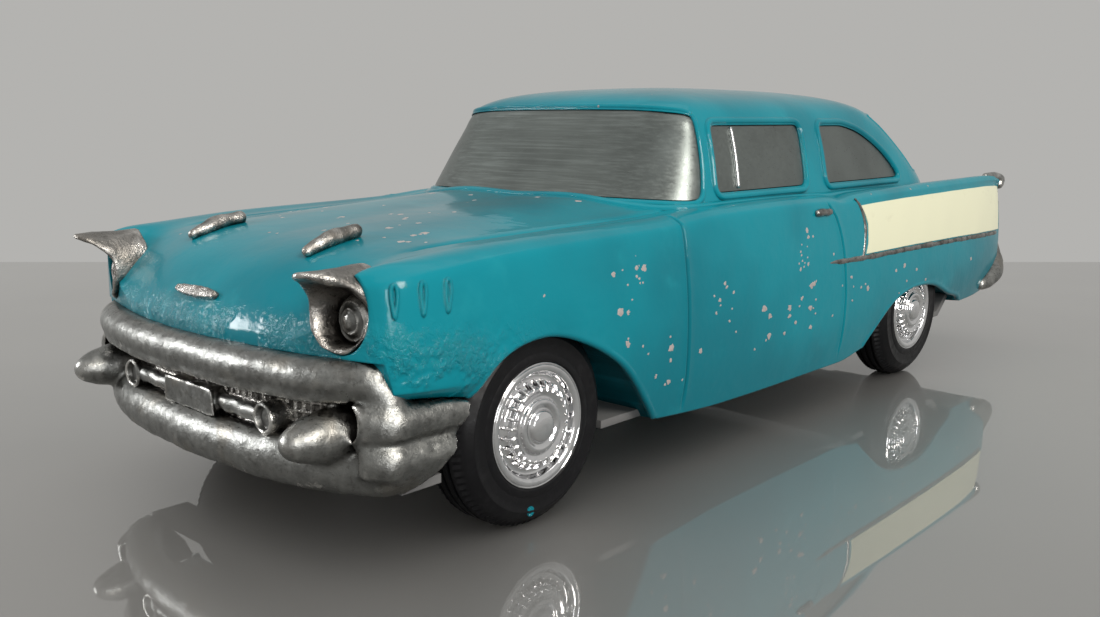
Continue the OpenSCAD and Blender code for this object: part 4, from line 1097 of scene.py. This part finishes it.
def make_front_bumper(metal):
    parts = [bar(UPPER_PLAN, 31.4, UPPER_Z, (1.0, 1.0)), bar(LOWER_PLAN, 32.2, LOWER_Z, (1.0, 1.25))]
    parts += both_sides(bullet()) + both_sides(ball_path(CORNER)) + both_sides(wing())
    lip = [(x, Y(float(UPPER_PLAN(abs(x)))) + 0.9, UPPER_Z - 1.9) for x in np.linspace(-30, 30, 60)]
    parts.append(tube("lip", lip, 0.7, segments=12))
    bumper = fused("front_bumper", parts, 0.36, 5)
    roughened(bumper, 5.0, 0.08, 1)
    roughened(bumper, 1.1, 0.028, 2)
    finish_piece(bumper, "front_bumper_cast", metal, ["front_bumper"], smooth=0)


GRILLE_HALF_W, GRILLE_T = 27.0, 1.0


def grille_y(x):
    return Y(float(UPPER_PLAN(abs(x)))) + 2 * BAR_R - 0.3


def make_grille(dark):
    xs = np.linspace(-GRILLE_HALF_W, GRILLE_HALF_W, 50)
    zs = np.linspace(LOWER_Z, UPPER_Z, 8)
    parts = [sheet("mesh", [[(x, grille_y(x), z) for x in xs] for z in zs],
                   [[(x, grille_y(x) + GRILLE_T, z) for x in xs] for z in zs])]
    for x in np.arange(-25.2, 25.3, 1.4):
        parts.append(tube("wire", [(x, grille_y(x) - 0.02, z) for z in np.linspace(LOWER_Z + 1, UPPER_Z - 1, 6)], 0.3,
                          up=(0, 1, 0), segments=6))
    for z in np.arange(LOWER_Z + 1.6, UPPER_Z - 1, 1.4):
        parts.append(tube("wire", [(x, grille_y(x) - 0.02, z) for x in np.linspace(-26, 26, 40)], 0.3, segments=6))
    finish_piece(merged("grille", parts), "grille_mesh", dark, ["grille_insert"])


LAMP_X, LAMP_R, LAMP_D, BAR_Z = 17.2, 2.1, 4.0, 18.2


def make_grille_bar(metal):
    reach = LAMP_X - LAMP_R - 0.12
    path = [(x, Y(5.2), BAR_Z) for x in np.linspace(-reach, reach, 40)]
    parts = [tube("rod", path, 1.15, segments=20)]
    block = [(-6.4, -1.6), (6.4, -1.6), (5.6, 1.7), (-5.6, 1.7)]
    rings = []
    for d, grow in ((3.4, -0.55), (3.6, -0.2), (4.1, 0), (8.0, 0)):
        rings.append([(x + math.copysign(grow, x), Y(d), BAR_Z + z + math.copysign(grow, z))
                      for x, z in resampled(block, 1.6, True)])
    parts.append(loft("block", rings))
    bar_obj = fused("grille_bar", parts, 0.22, 4)
    roughened(bar_obj, 2.2, 0.1, 4)
    finish_piece(bar_obj, "grille_bar_cast", metal, ["grille_bar"], smooth=0)
    depth = grille_y(LAMP_X) + 0.3 - Y(LAMP_D)
    profile = [(0, 0.75), (0.7, 0.6), (1.3, 0.75), (1.5, 0.35), (1.62, 0.05), (1.85, 0), (2.05, 0.2), (2.1, 0.6),
               (2.1, depth), (0, depth)]
    lamp = lathe("lamp", profile, 40, (0, 1, 0))
    lamp.data.transform(Matrix.Translation((LAMP_X, Y(LAMP_D), BAR_Z)))
    finish_pair(roughened(lamp, 1.6, 0.04, 5), "parking_lamp", metal)


# ---------------------------------------------------------------- headlights, hood trim
def make_headlights(metal, lens_metal):
    lens_z = -LENS_DROP
    rings = [pod_ring(1, POD_BACK_D), pod_ring(1, 10.4)]
    for t in (0.75, 0.5, 0.25):
        rings.append(pod_ring(1, lambda a, t=t: rim_d(a) + 0.5 + (10.4 - rim_d(a) - 0.5) * t))
    rings += [pod_ring(1, lambda a: rim_d(a) + 0.55), pod_ring(0.985, lambda a: rim_d(a) + 0.2),
              pod_ring(0.95, lambda a: rim_d(a)), pod_ring(0.9, lambda a: rim_d(a) - 0.02),
              pod_ring(0.85, lambda a: rim_d(a) + 0.2), pod_ring(0.8, lambda a: rim_d(a) + 0.7)]
    lens_rx, lens_rz = LENS_R / POD_RX, LENS_R / POD_RZ
    for t in (0.25, 0.5, 0.75, 0.93):
        rx, rz, lift = 0.8 + (lens_rx - 0.8) * t, 0.8 + (lens_rz - 0.8) * t, lens_z * t
        rings.append([(POD_X + POD_RX * rx * math.cos(a), Y(rim_d(a) + 0.7 + (LENS_SEAT_D - rim_d(a) - 0.7) * t**0.7),
                       POD_Z + lift + POD_RZ * rz * math.sin(a)) for a in POD_ANGLES])
    rings.append([(POD_X + LENS_R * math.cos(a), Y(LENS_SEAT_D), POD_Z + lens_z + LENS_R * math.sin(a))
                  for a in POD_ANGLES])
    pod = loft("pod", rings)
    roughened(pod, 2.4, 0.16, 6)
    roughened(pod, 0.8, 0.05, 7)
    finish_pair(pod, "headlight_bezel", metal, smooth=50)
    profile = [(0, 1.55), (0.7, 1.45), (0.95, 1.15), (1.25, 1.0), (1.5, 1.12), (1.75, 0.75), (2.1, 0.62),
               (2.35, 0.8), (2.6, 0.6), (2.85, 0.4), (2.98, 0), (0, 0)]
    lens = lathe("lens", [(r, h) for r, h in profile], 48, (0, -1, 0))
    lens.data.transform(Matrix.Translation((POD_X, Y(LENS_SEAT_D), POD_Z + lens_z)))
    finish_pair(roughened(lens, 1.2, 0.05, 8), "headlight_lens", lens_metal, smooth=50)


def make_hood_trim(metal):
    z0 = float(HOOD_Z(13.6)) + 0.55
    pts = smooth_line([(14.4, Y(13.6), z0, 0.8), (14.4, Y(17.2), z0 + 1.3, 1.12), (14.4, Y(21), z0 + 2.0, 1.05)], 10)
    spear = tube("spear", pts[:, :3], pts[:, 3], segments=20)
    roughened(spear, 1.8, 0.1, 9)
    finish_pair(spear, "hood_spear", metal, smooth=60)
    rings = []
    for h, s in ((0, 0.75), (0.12, 0.95), (0.35, 1.0), (0.7, 1.0)):
        ring = []
        for a in np.linspace(0, 2 * math.pi, 40, endpoint=False):
            x = 4.2 * max(-1, min(1, math.cos(a) * 1.2)) + 0.8 * s * math.cos(a)
            ring.append((x, h - 0.7, 0.8 * s * math.sin(a)))
        rings.append(ring)
    badge = loft("badge", rings)
    badge.data.transform(Matrix.Translation((0, Y(5.9), 31.8)) @ Matrix.Rotation(math.radians(-40), 4, "X"))
    finish_piece(roughened(badge, 1.5, 0.05, 3), "hood_badge_cast", metal, ["hood_badge"])


# ---------------------------------------------------------------- side trim and tail
TRIM_LINE = [(109.5, 28.7), (122.4, 28.35), (135, 28.3), (150, 28.2), (165, 28), (180, 27.7), (195, 27.4)]
TRIM_LEG = [(122.6, 29), (123.4, 32), (123.4, 35), (122.2, 38), (120.6, 39.6)]
PANEL_EDGE = Curve([(0, 123.2), (0.25, 124.1), (0.55, 124.2), (0.8, 123.2), (1, 121.8)])
TRIM_Z = Curve(TRIM_LINE)


def flank_tube(points, radius, proud, segments=12):
    pts = resampled(smooth_line(points, 8), 0.7)
    n = len(pts)
    taper = np.clip(np.minimum(np.arange(n) * 0.12 + 0.45, 1), 0, 1) * radius
    path = [(float(flank_x(d, z)) + proud, Y(d), z) for d, z in pts]
    return tube("trim", path, taper, squash=(1, 0.75), up=(1, 0, 0), segments=segments)


def make_side_trim(dark_metal, cream):
    parts = [flank_tube(TRIM_LINE, 0.55, -0.14), flank_tube(TRIM_LEG[::-1], 0.44, -0.1)]
    trim = merged("trim", parts)
    finish_pair(roughened(trim, 2.0, 0.06, 11), "side_trim", dark_metal, smooth=60)

    def grid(out, inset):
        rows = []
        for v in np.linspace(0, 1, 25):
            d0 = float(PANEL_EDGE(v)) + 0.4 + inset
            row = []
            for u in np.linspace(0, 1, 90):
                d = d0 + (197 - inset - d0) * u
                z0, z1 = float(TRIM_Z(d)) + 0.62 + inset, float(CROWN_Z(d)) - 2.2 - inset
                z = z0 + (z1 - z0) * v
                row.append((float(flank_x(d, z)) + out, Y(d), z))
            rows.append(row)
        return rows

    panel = sheet("panel", grid(0.15, 0.12), grid(-0.3, 0))
    finish_pair(roughened(panel, 6.0, 0.03, 12), "side_panel", cream)


def make_handles(metal, bright):
    pts = []
    for d, z in ((105.0, 38), (106.4, 38.05), (108, 38.05), (109.6, 37.95)):
        pts.append((float(flank_x(d, z)) + 0.25, Y(d), z))
    handle = tube("handle", smooth_line(pts, 6), 0.62, squash=(1, 0.9), up=(1, 0, 0), segments=14)
    finish_pair(roughened(handle, 1.5, 0.08, 13), "door_handle", metal, smooth=60)
    pts = [(cabin_side_x(d, z) - 0.1, Y(d), z) for d, z in ((90.4, 52.8), (89.8, 50), (89.0, 46.8), (88.2, 43.4))]
    bar_obj = tube("vent", smooth_line(pts, 6), 0.4, squash=(1, 0.9), up=(1, 0, 0), segments=12)
    finish_pair(bar_obj, "vent_bar", bright, smooth=60)


REAR_BAR = [(0, 200.2, 18, 2.4), (14, 200.3, 18, 2.4), (25, 200.2, 18.2, 2.5), (32.5, 199.6, 19.4, 3.0),
            (34.9, 197.6, 17.8, 2.6), (35.45, 193, 16, 2), (35.4, 189.6, 15.2, 1.4)]

REAR_UPRIGHT = [(33.6, 199.9, 19.6, 3.0), (33.3, 200.2, 22.4, 2.2), (33, 200.6, 24.6, 1.6)]


def make_tail(metal):
    back = float(bow(32.6, TAIL_D))
    cap = [(34, TAIL_D - 8, 41.0, 0.7), (34, TAIL_D - 3, 40.8, 1.0), (34.1, TAIL_D + 1.6 + back, 40.0, 1.2),
           (34.3, TAIL_D + 0.8 + back, 38.8, 1.2)]
    fin = ball_path(cap, 8)
    finish_pair(roughened(fin, 1.6, 0.06, 14), "fin_cap", metal, smooth=60)
    rings = []
    for h, s in ((-0.3, 1.0), (1.3, 1.0), (1.75, 0.93), (2.1, 0.78), (2.4, 0.55), (2.55, 0.28)):
        ring = []
        for a in np.linspace(0, 2 * math.pi, 48, endpoint=False):
            c, q = math.cos(a), math.sin(a)
            up = 3.3 * math.copysign(abs(q) ** 0.7, q) + 1.9 * q
            ring.append((32.6 + 2.0 * s * c, Y(TAIL_D) + back + h, 32.1 + up * s))
        rings.append(ring)
    finish_pair(roughened(loft("lamp", rings), 1.8, 0.06, 15), "tail_lamp", metal, smooth=45)
    parts = both_sides(ball_path(REAR_BAR)) + both_sides(ball_path(REAR_UPRIGHT))
    plate = [(-8.2, -3.4), (8.2, -3.4), (8.2, 3.4), (-8.2, 3.4)]
    rings = []
    for d, s in ((199.5, 1.0), (202.3, 1.0), (202.7, 0.97), (202.7, 0.88), (202.3, 0.84), (202.3, 0.1)):
        rings.append([(x * s, Y(d), 18.8 + z * s) for x, z in resampled(plate, 1.2, True)])
    parts.append(loft("plate", rings))
    bumper = fused("rear_bumper", parts, 0.36, 4)
    roughened(bumper, 5.0, 0.07, 16)
    roughened(bumper, 1.1, 0.028, 17)
    finish_piece(bumper, "rear_bumper_cast", metal, ["rear_bumper"], smooth=0)


# ---------------------------------------------------------------- wheels
SEAT_R, TYRE_W, DISC_T = 8.6, 8.6, 2.2
RIBS = 26


def at_wheel(obj, y, side):
    """Moves a wheel piece from the origin, drawn with its outer face up (+Z), to its place on the car."""
    turn = Matrix(((0, 0, 1, 0), (0, 1, 0, 0), (-1, 0, 0, 0), (0, 0, 0, 1)))
    obj.data.transform(Matrix.Translation((WHEEL_X, y, AXLE_Z)) @ turn)
    return obj if side > 0 else mirrored_only(obj)


def mirrored_only(obj):
    copy = mirror_x(obj)
    bpy.data.objects.remove(obj)
    return copy


def tyre_mesh():
    r, w = TYRE_R, TYRE_W
    side = [(SEAT_R, -0.2), (SEAT_R + 0.25, -0.02), (SEAT_R + 0.9, 0), (SEAT_R + 1.3, -0.18), (SEAT_R + 2.1, -0.12),
            (r - 2.9, -0.14), (r - 2.55, 0.0), (r - 2.3, 0.0), (r - 2.05, -0.22), (r - 1.5, -0.5), (r - 0.95, -0.95),
            (r - 0.45, -1.5), (r - 0.12, -2.0)]
    tread = []
    for k in (0.33, 0.5, 0.67):
        tread += [(r, -w * k + 0.32), (r - 0.5, -w * k + 0.24), (r - 0.5, -w * k - 0.24), (r, -w * k - 0.32)]
    back = [(q, -w - h) for q, h in side[::-1]]
    profile = [(SEAT_R, -w / 2)] + side + [(r, -2.15)] + tread + [(r, -w + 2.15)] + back
    n = 168
    rings = []
    for k in range(n):
        a = 2 * math.pi * k / n
        notch = 0.28 if k % 2 else 0.0
        ring = []
        for q, h in profile:
            shoulder = ramp(q, r - 1.25, r - 0.7) * ramp(abs(h + w / 2), w / 2 - 2.6, w / 2 - 2.0)
            q = q - notch * float(shoulder)
            ring.append((q * math.cos(a), q * math.sin(a), h))
        rings.append(ring)
    rings = np.array(rings)
    return mesh_object("tyre", rings.reshape(-1, 3), grid_faces(n, len(profile), loop_cols=True, loop_rows=True))


def disc_mesh():
    s = SEAT_R
    profile = [(0, 1.2), (0.6, 1.19), (1.3, 1.1), (1.9, 0.9), (2.15, 0.62), (2.3, 0.35), (2.55, 0.28), (2.8, 0.45),
               (3.0, 0.6), (3.3, 0.62), (3.6, 0.5), (3.75, 0.2), (3.9, 0.06), (4.2, 0.05), (4.7, 0.3), (5.0, 0.36),
               (5.3, 0.1), (5.45, -0.45), (5.8, -0.9), (6.3, -1.1), (6.7, -1.1), (6.95, -0.95), (7.1, -0.6),
               (7.3, -0.2), (7.6, 0.0), (7.95, 0.06), (8.2, 0.02), (8.32, -0.12), (8.44, -0.02), (8.58, -0.1),
               (s, -0.25), (s, -DISC_T), (0, -DISC_T)]
    fine = smooth_line(profile[:-2], 3)
    disc = lathe("disc", [tuple(p) for p in fine] + profile[-2:], 120)
    parts = [disc]
    for k in range(RIBS):
        a = 2 * math.pi * k / RIBS
        tooth = []
        for q, wide, h in ((4.75, 0.2, 0.42), (5.2, 0.24, 0.34), (5.7, 0.25, 0.0), (6.15, 0.16, -0.6)):
            ring = []
            for sx, sz in ((-1, -0.55), (-0.75, 0.02), (0, 0.16), (0.75, 0.02), (1, -0.55)):
                px, py = q, sx * wide
                ring.append((px * math.cos(a) - py * math.sin(a), px * math.sin(a) + py * math.cos(a), h + sz))
            tooth.append(ring)
        parts.append(loft("tooth", tooth))
    return merged("disc", parts)


def make_wheels(tyre_mat, disc_mat, speck_mat):
    for axle, y, body in (("front", FRONT_Y, "front_wheelset"), ("rear", REAR_Y, "rear_wheelset")):
        for side, name in ((1, "left"), (-1, "right")):
            tyre = at_wheel(tyre_mesh(), y, side)
            finish_piece(tyre, f"tyre_{axle}_{name}_rubber", tyre_mat, [f"tyre_{axle}_{name}"], body, 28)
            disc = at_wheel(disc_mesh(), y, side)
            finish_piece(disc, f"wheel_cover_{axle}_{name}", disc_mat, [f"wheel_disc_{axle}_{name}"],
                         body, 40)
    fleck = lathe("fleck", [(0, 0.04), (0.4, 0.03), (0.7, 0), (0.75, -0.1), (0, -0.1)], 14)
    roughened(fleck, 0.7, 0.04, 18)
    a, r = math.radians(-8), TYRE_R - 2.45
    fleck.data.transform(Matrix.Translation((r * math.cos(a), r * math.sin(a), -0.02)))
    fleck = at_wheel(fleck, FRONT_Y, 1)
    finish_piece(fleck, "tyre_paint_fleck", speck_mat, (), "front_wheelset")


# ---------------------------------------------------------------- paint chips on the casting
# Clusters on a flank: station, height, spread along, spread up, count.
FLANK_CHIPS = [(52, 33, 5, 3, 12), (50, 24, 9, 5, 12), (100, 30.5, 2.6, 4.5, 14), (97, 21, 14, 7, 22),
               (75, 27, 7, 8, 12),
               (118, 22, 8, 5, 9), (145, 22, 14, 4, 8), (30, 29, 8, 4, 7), (60, 18, 4, 5, 7), (165, 33, 10, 4, 4)]
# Clusters on the hood and deck: x, station, spread across, spread along, count.
DECK_CHIPS = [(8, 30, 12, 10, 14), (-12, 34, 10, 12, 8), (20, 24, 6, 5, 8), (5, 60, 16, 6, 6), (0, 186, 22, 5, 8)]


def chip(at, normal, radius):
    """A low, uneven disc lying on the paint."""
    n = 11
    wobble = 1 + 0.22 * RNG.standard_normal(n)
    stretch = 1 + 0.35 * RNG.random()
    rings = []
    for s, h in ((1.0, -0.12), (1.0, 0.012), (0.8, 0.035), (0.35, 0.04)):
        rings.append([(radius * s * wobble[k] * math.cos(2 * math.pi * k / n) / stretch ** 0.5,
                       radius * s * wobble[k] * math.sin(2 * math.pi * k / n) * stretch ** 0.5, h) for k in range(n)])
    obj = loft("chip", rings)
    turn = Vector((0, 0, 1)).rotation_difference(Vector(normal)).to_matrix().to_4x4()
    obj.data.transform(Matrix.Translation(at) @ turn)
    return obj


def make_chips(material):
    flank, deck = [], []
    for side in (1, -1):
        for d0, z0, sd, sz, count in FLANK_CHIPS:
            for _ in range(count):
                d, z = d0 + sd * RNG.standard_normal() * 0.6, z0 + sz * RNG.standard_normal() * 0.6
                radius = 0.2 + 0.42 * RNG.random() ** 2
                if z < SILL_Z(d) + 2 or z > 37 or (d - 34.8) ** 2 + (z - 14) ** 2 < 18 ** 2 or d > 190:
                    continue
                if d > 120 and z > 26.5:
                    continue
                x = float(flank_x(d, z))
                slope = float(flank_x(d, z + 0.5) - flank_x(d, z - 0.5))
                flank.append(chip((side * x, Y(d) + float(bow(x, d)), z), (side, 0, -slope), radius))
    for x0, d0, sx, sd, count in DECK_CHIPS:
        for _ in range(count):
            x, d = x0 + sx * RNG.standard_normal() * 0.6, d0 + sd * RNG.standard_normal() * 0.6
            if abs(x) > 28 or abs(abs(x) - float(SEAM_X(d))) < 1.5 or d < 14 or d > 193:
                continue
            v = np.linspace(6.2, 9, 57)
            xs, zs = section_point(np.full(57, d), v)
            z = float(np.interp(-abs(x), -xs, zs))
            z2 = float(np.interp(-abs(x) - 0.4, -xs, zs))
            ahead = float(HOOD_Z(d + 1) - HOOD_Z(d - 1)) / 2
            normal = (math.copysign((z - z2) / 0.4, x), -ahead, 1)
            deck.append(chip((x, Y(d), z), normal, 0.2 + 0.4 * RNG.random() ** 2))
    obj = merged("chips", flank + deck)
    finish_piece(obj, "paint_chips", material, (), "car", 30)


# ---------------------------------------------------------------- build
make_camera()
enamel_teal = enamel("teal_enamel", TEAL, TEAL_DEEP, TEAL_LIGHT)
pewter = cast_metal("bare_casting", (0.27, 0.275, 0.265), (0.045, 0.04, 0.034), (0.72, 0.71, 0.68), 0.44)
pewter_rough = cast_metal("bare_casting_rough", (0.25, 0.24, 0.225), (0.035, 0.03, 0.026), (0.62, 0.6, 0.57), 0.42, 1.8)
trim_metal = cast_metal("trim_casting", (0.17, 0.165, 0.155), (0.05, 0.047, 0.042), (0.45, 0.44, 0.42), 0.5)
window_metal = brushed_metal("window_metal", (0.225, 0.25, 0.24), 0.34)
bright_metal = brushed_metal("bright_metal", (0.62, 0.63, 0.64), 0.25)
wheel_chrome = chrome("wheel_chrome")
tyre_rubber = rubber("tyre_rubber")
cream_paint = painted_cream("cream_enamel")
black_paint = flat_black("black_plate")
black_plastic = flat_black("black_plastic", (0.012, 0.012, 0.013), 0.5)
steel = cast_metal("axle_steel", (0.4, 0.4, 0.4), (0.06, 0.055, 0.05), (0.7, 0.7, 0.7), 0.35, 0.4)

chip_graph = Graph("primer_chip")
chip_tone = chip_graph.mix(chip_graph.noise(1.4, 4, 0.6), (0.30, 0.25, 0.24), (0.50, 0.46, 0.45))
primer = chip_graph.set(Base_Color=chip_tone, Roughness=0.55, Normal=chip_graph.bump(chip_graph.noise(5, 3), 0.03))

make_body(enamel_teal)
make_windows(window_metal)
make_front_bumper(pewter)
make_grille(pewter_rough)
make_grille_bar(pewter)
make_headlights(pewter_rough, pewter)
make_hood_trim(pewter_rough)
make_side_trim(trim_metal, cream_paint)
make_handles(trim_metal, bright_metal)
make_tail(pewter)
make_wheels(tyre_rubber, wheel_chrome, enamel_teal)
make_chips(primer)

for node, material in (("base_plate", black_paint), ("base_screws", steel), ("front_axle", steel), ("rear_axle", steel),
                       *((f"wheel_hub_{a}_{s}", black_plastic) for a in ("front", "rear") for s in ("left", "right"))):
    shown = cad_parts[node]
    shown.data.materials.clear()
    shown.data.materials.append(material)

# ---------------------------------------------------------------- table, backdrop and lights
look = Vector((-math.sin(CAM_AZIMUTH), math.cos(CAM_AZIMUTH), 0))
across = Vector((look.y, -look.x, 0))
table_size = 1.6
corners = [look * TABLE_END + across * table_size, look * TABLE_END - across * table_size,
           -look * table_size - across * table_size, -look * table_size + across * table_size]
table = bpy.data.meshes.new("table")
table.from_pydata([tuple(c) for c in corners], [], [(0, 1, 2, 3)])
table_obj = bpy.data.objects.new("table", table)
bpy.context.scene.collection.objects.link(table_obj)
table.materials.append(table_top("table_top"))

world = bpy.data.worlds.new("studio")
bpy.context.scene.world = world
world.use_nodes = True
sky = world.node_tree.nodes["Background"]
sky.inputs["Color"].default_value = (0.455, 0.45, 0.435, 1)
sky.inputs["Strength"].default_value = 1.0

unlit = bpy.data.collections.new("not_lit_by_softboxes")
unlit.objects.link(table_obj)
unlit.collection_objects[0].light_linking.link_state = "EXCLUDE"
for name, at, size, power, colour in (("key", (0.60, -0.15, 0.45), (0.2, 0.3), 3.7, (1, 0.95, 0.88)),
                                      ("side", (0.78, -0.46, 0.20), (0.14, 0.3), 1.6, (1, 1, 1)),
                                      ("front", (-0.55, -0.52, 0.26), (0.2, 0.2), 2.6, (1, 1, 1)),
                                      ("top", (0.05, 0.05, 0.80), (0.9, 0.7), 0.9, (1, 1, 1))):
    area_light(name, at, (0, 0, 0.03), size, power, colour).light_linking.receiver_collection = unlit
bpy.context.scene.view_settings.view_transform = "Standard"
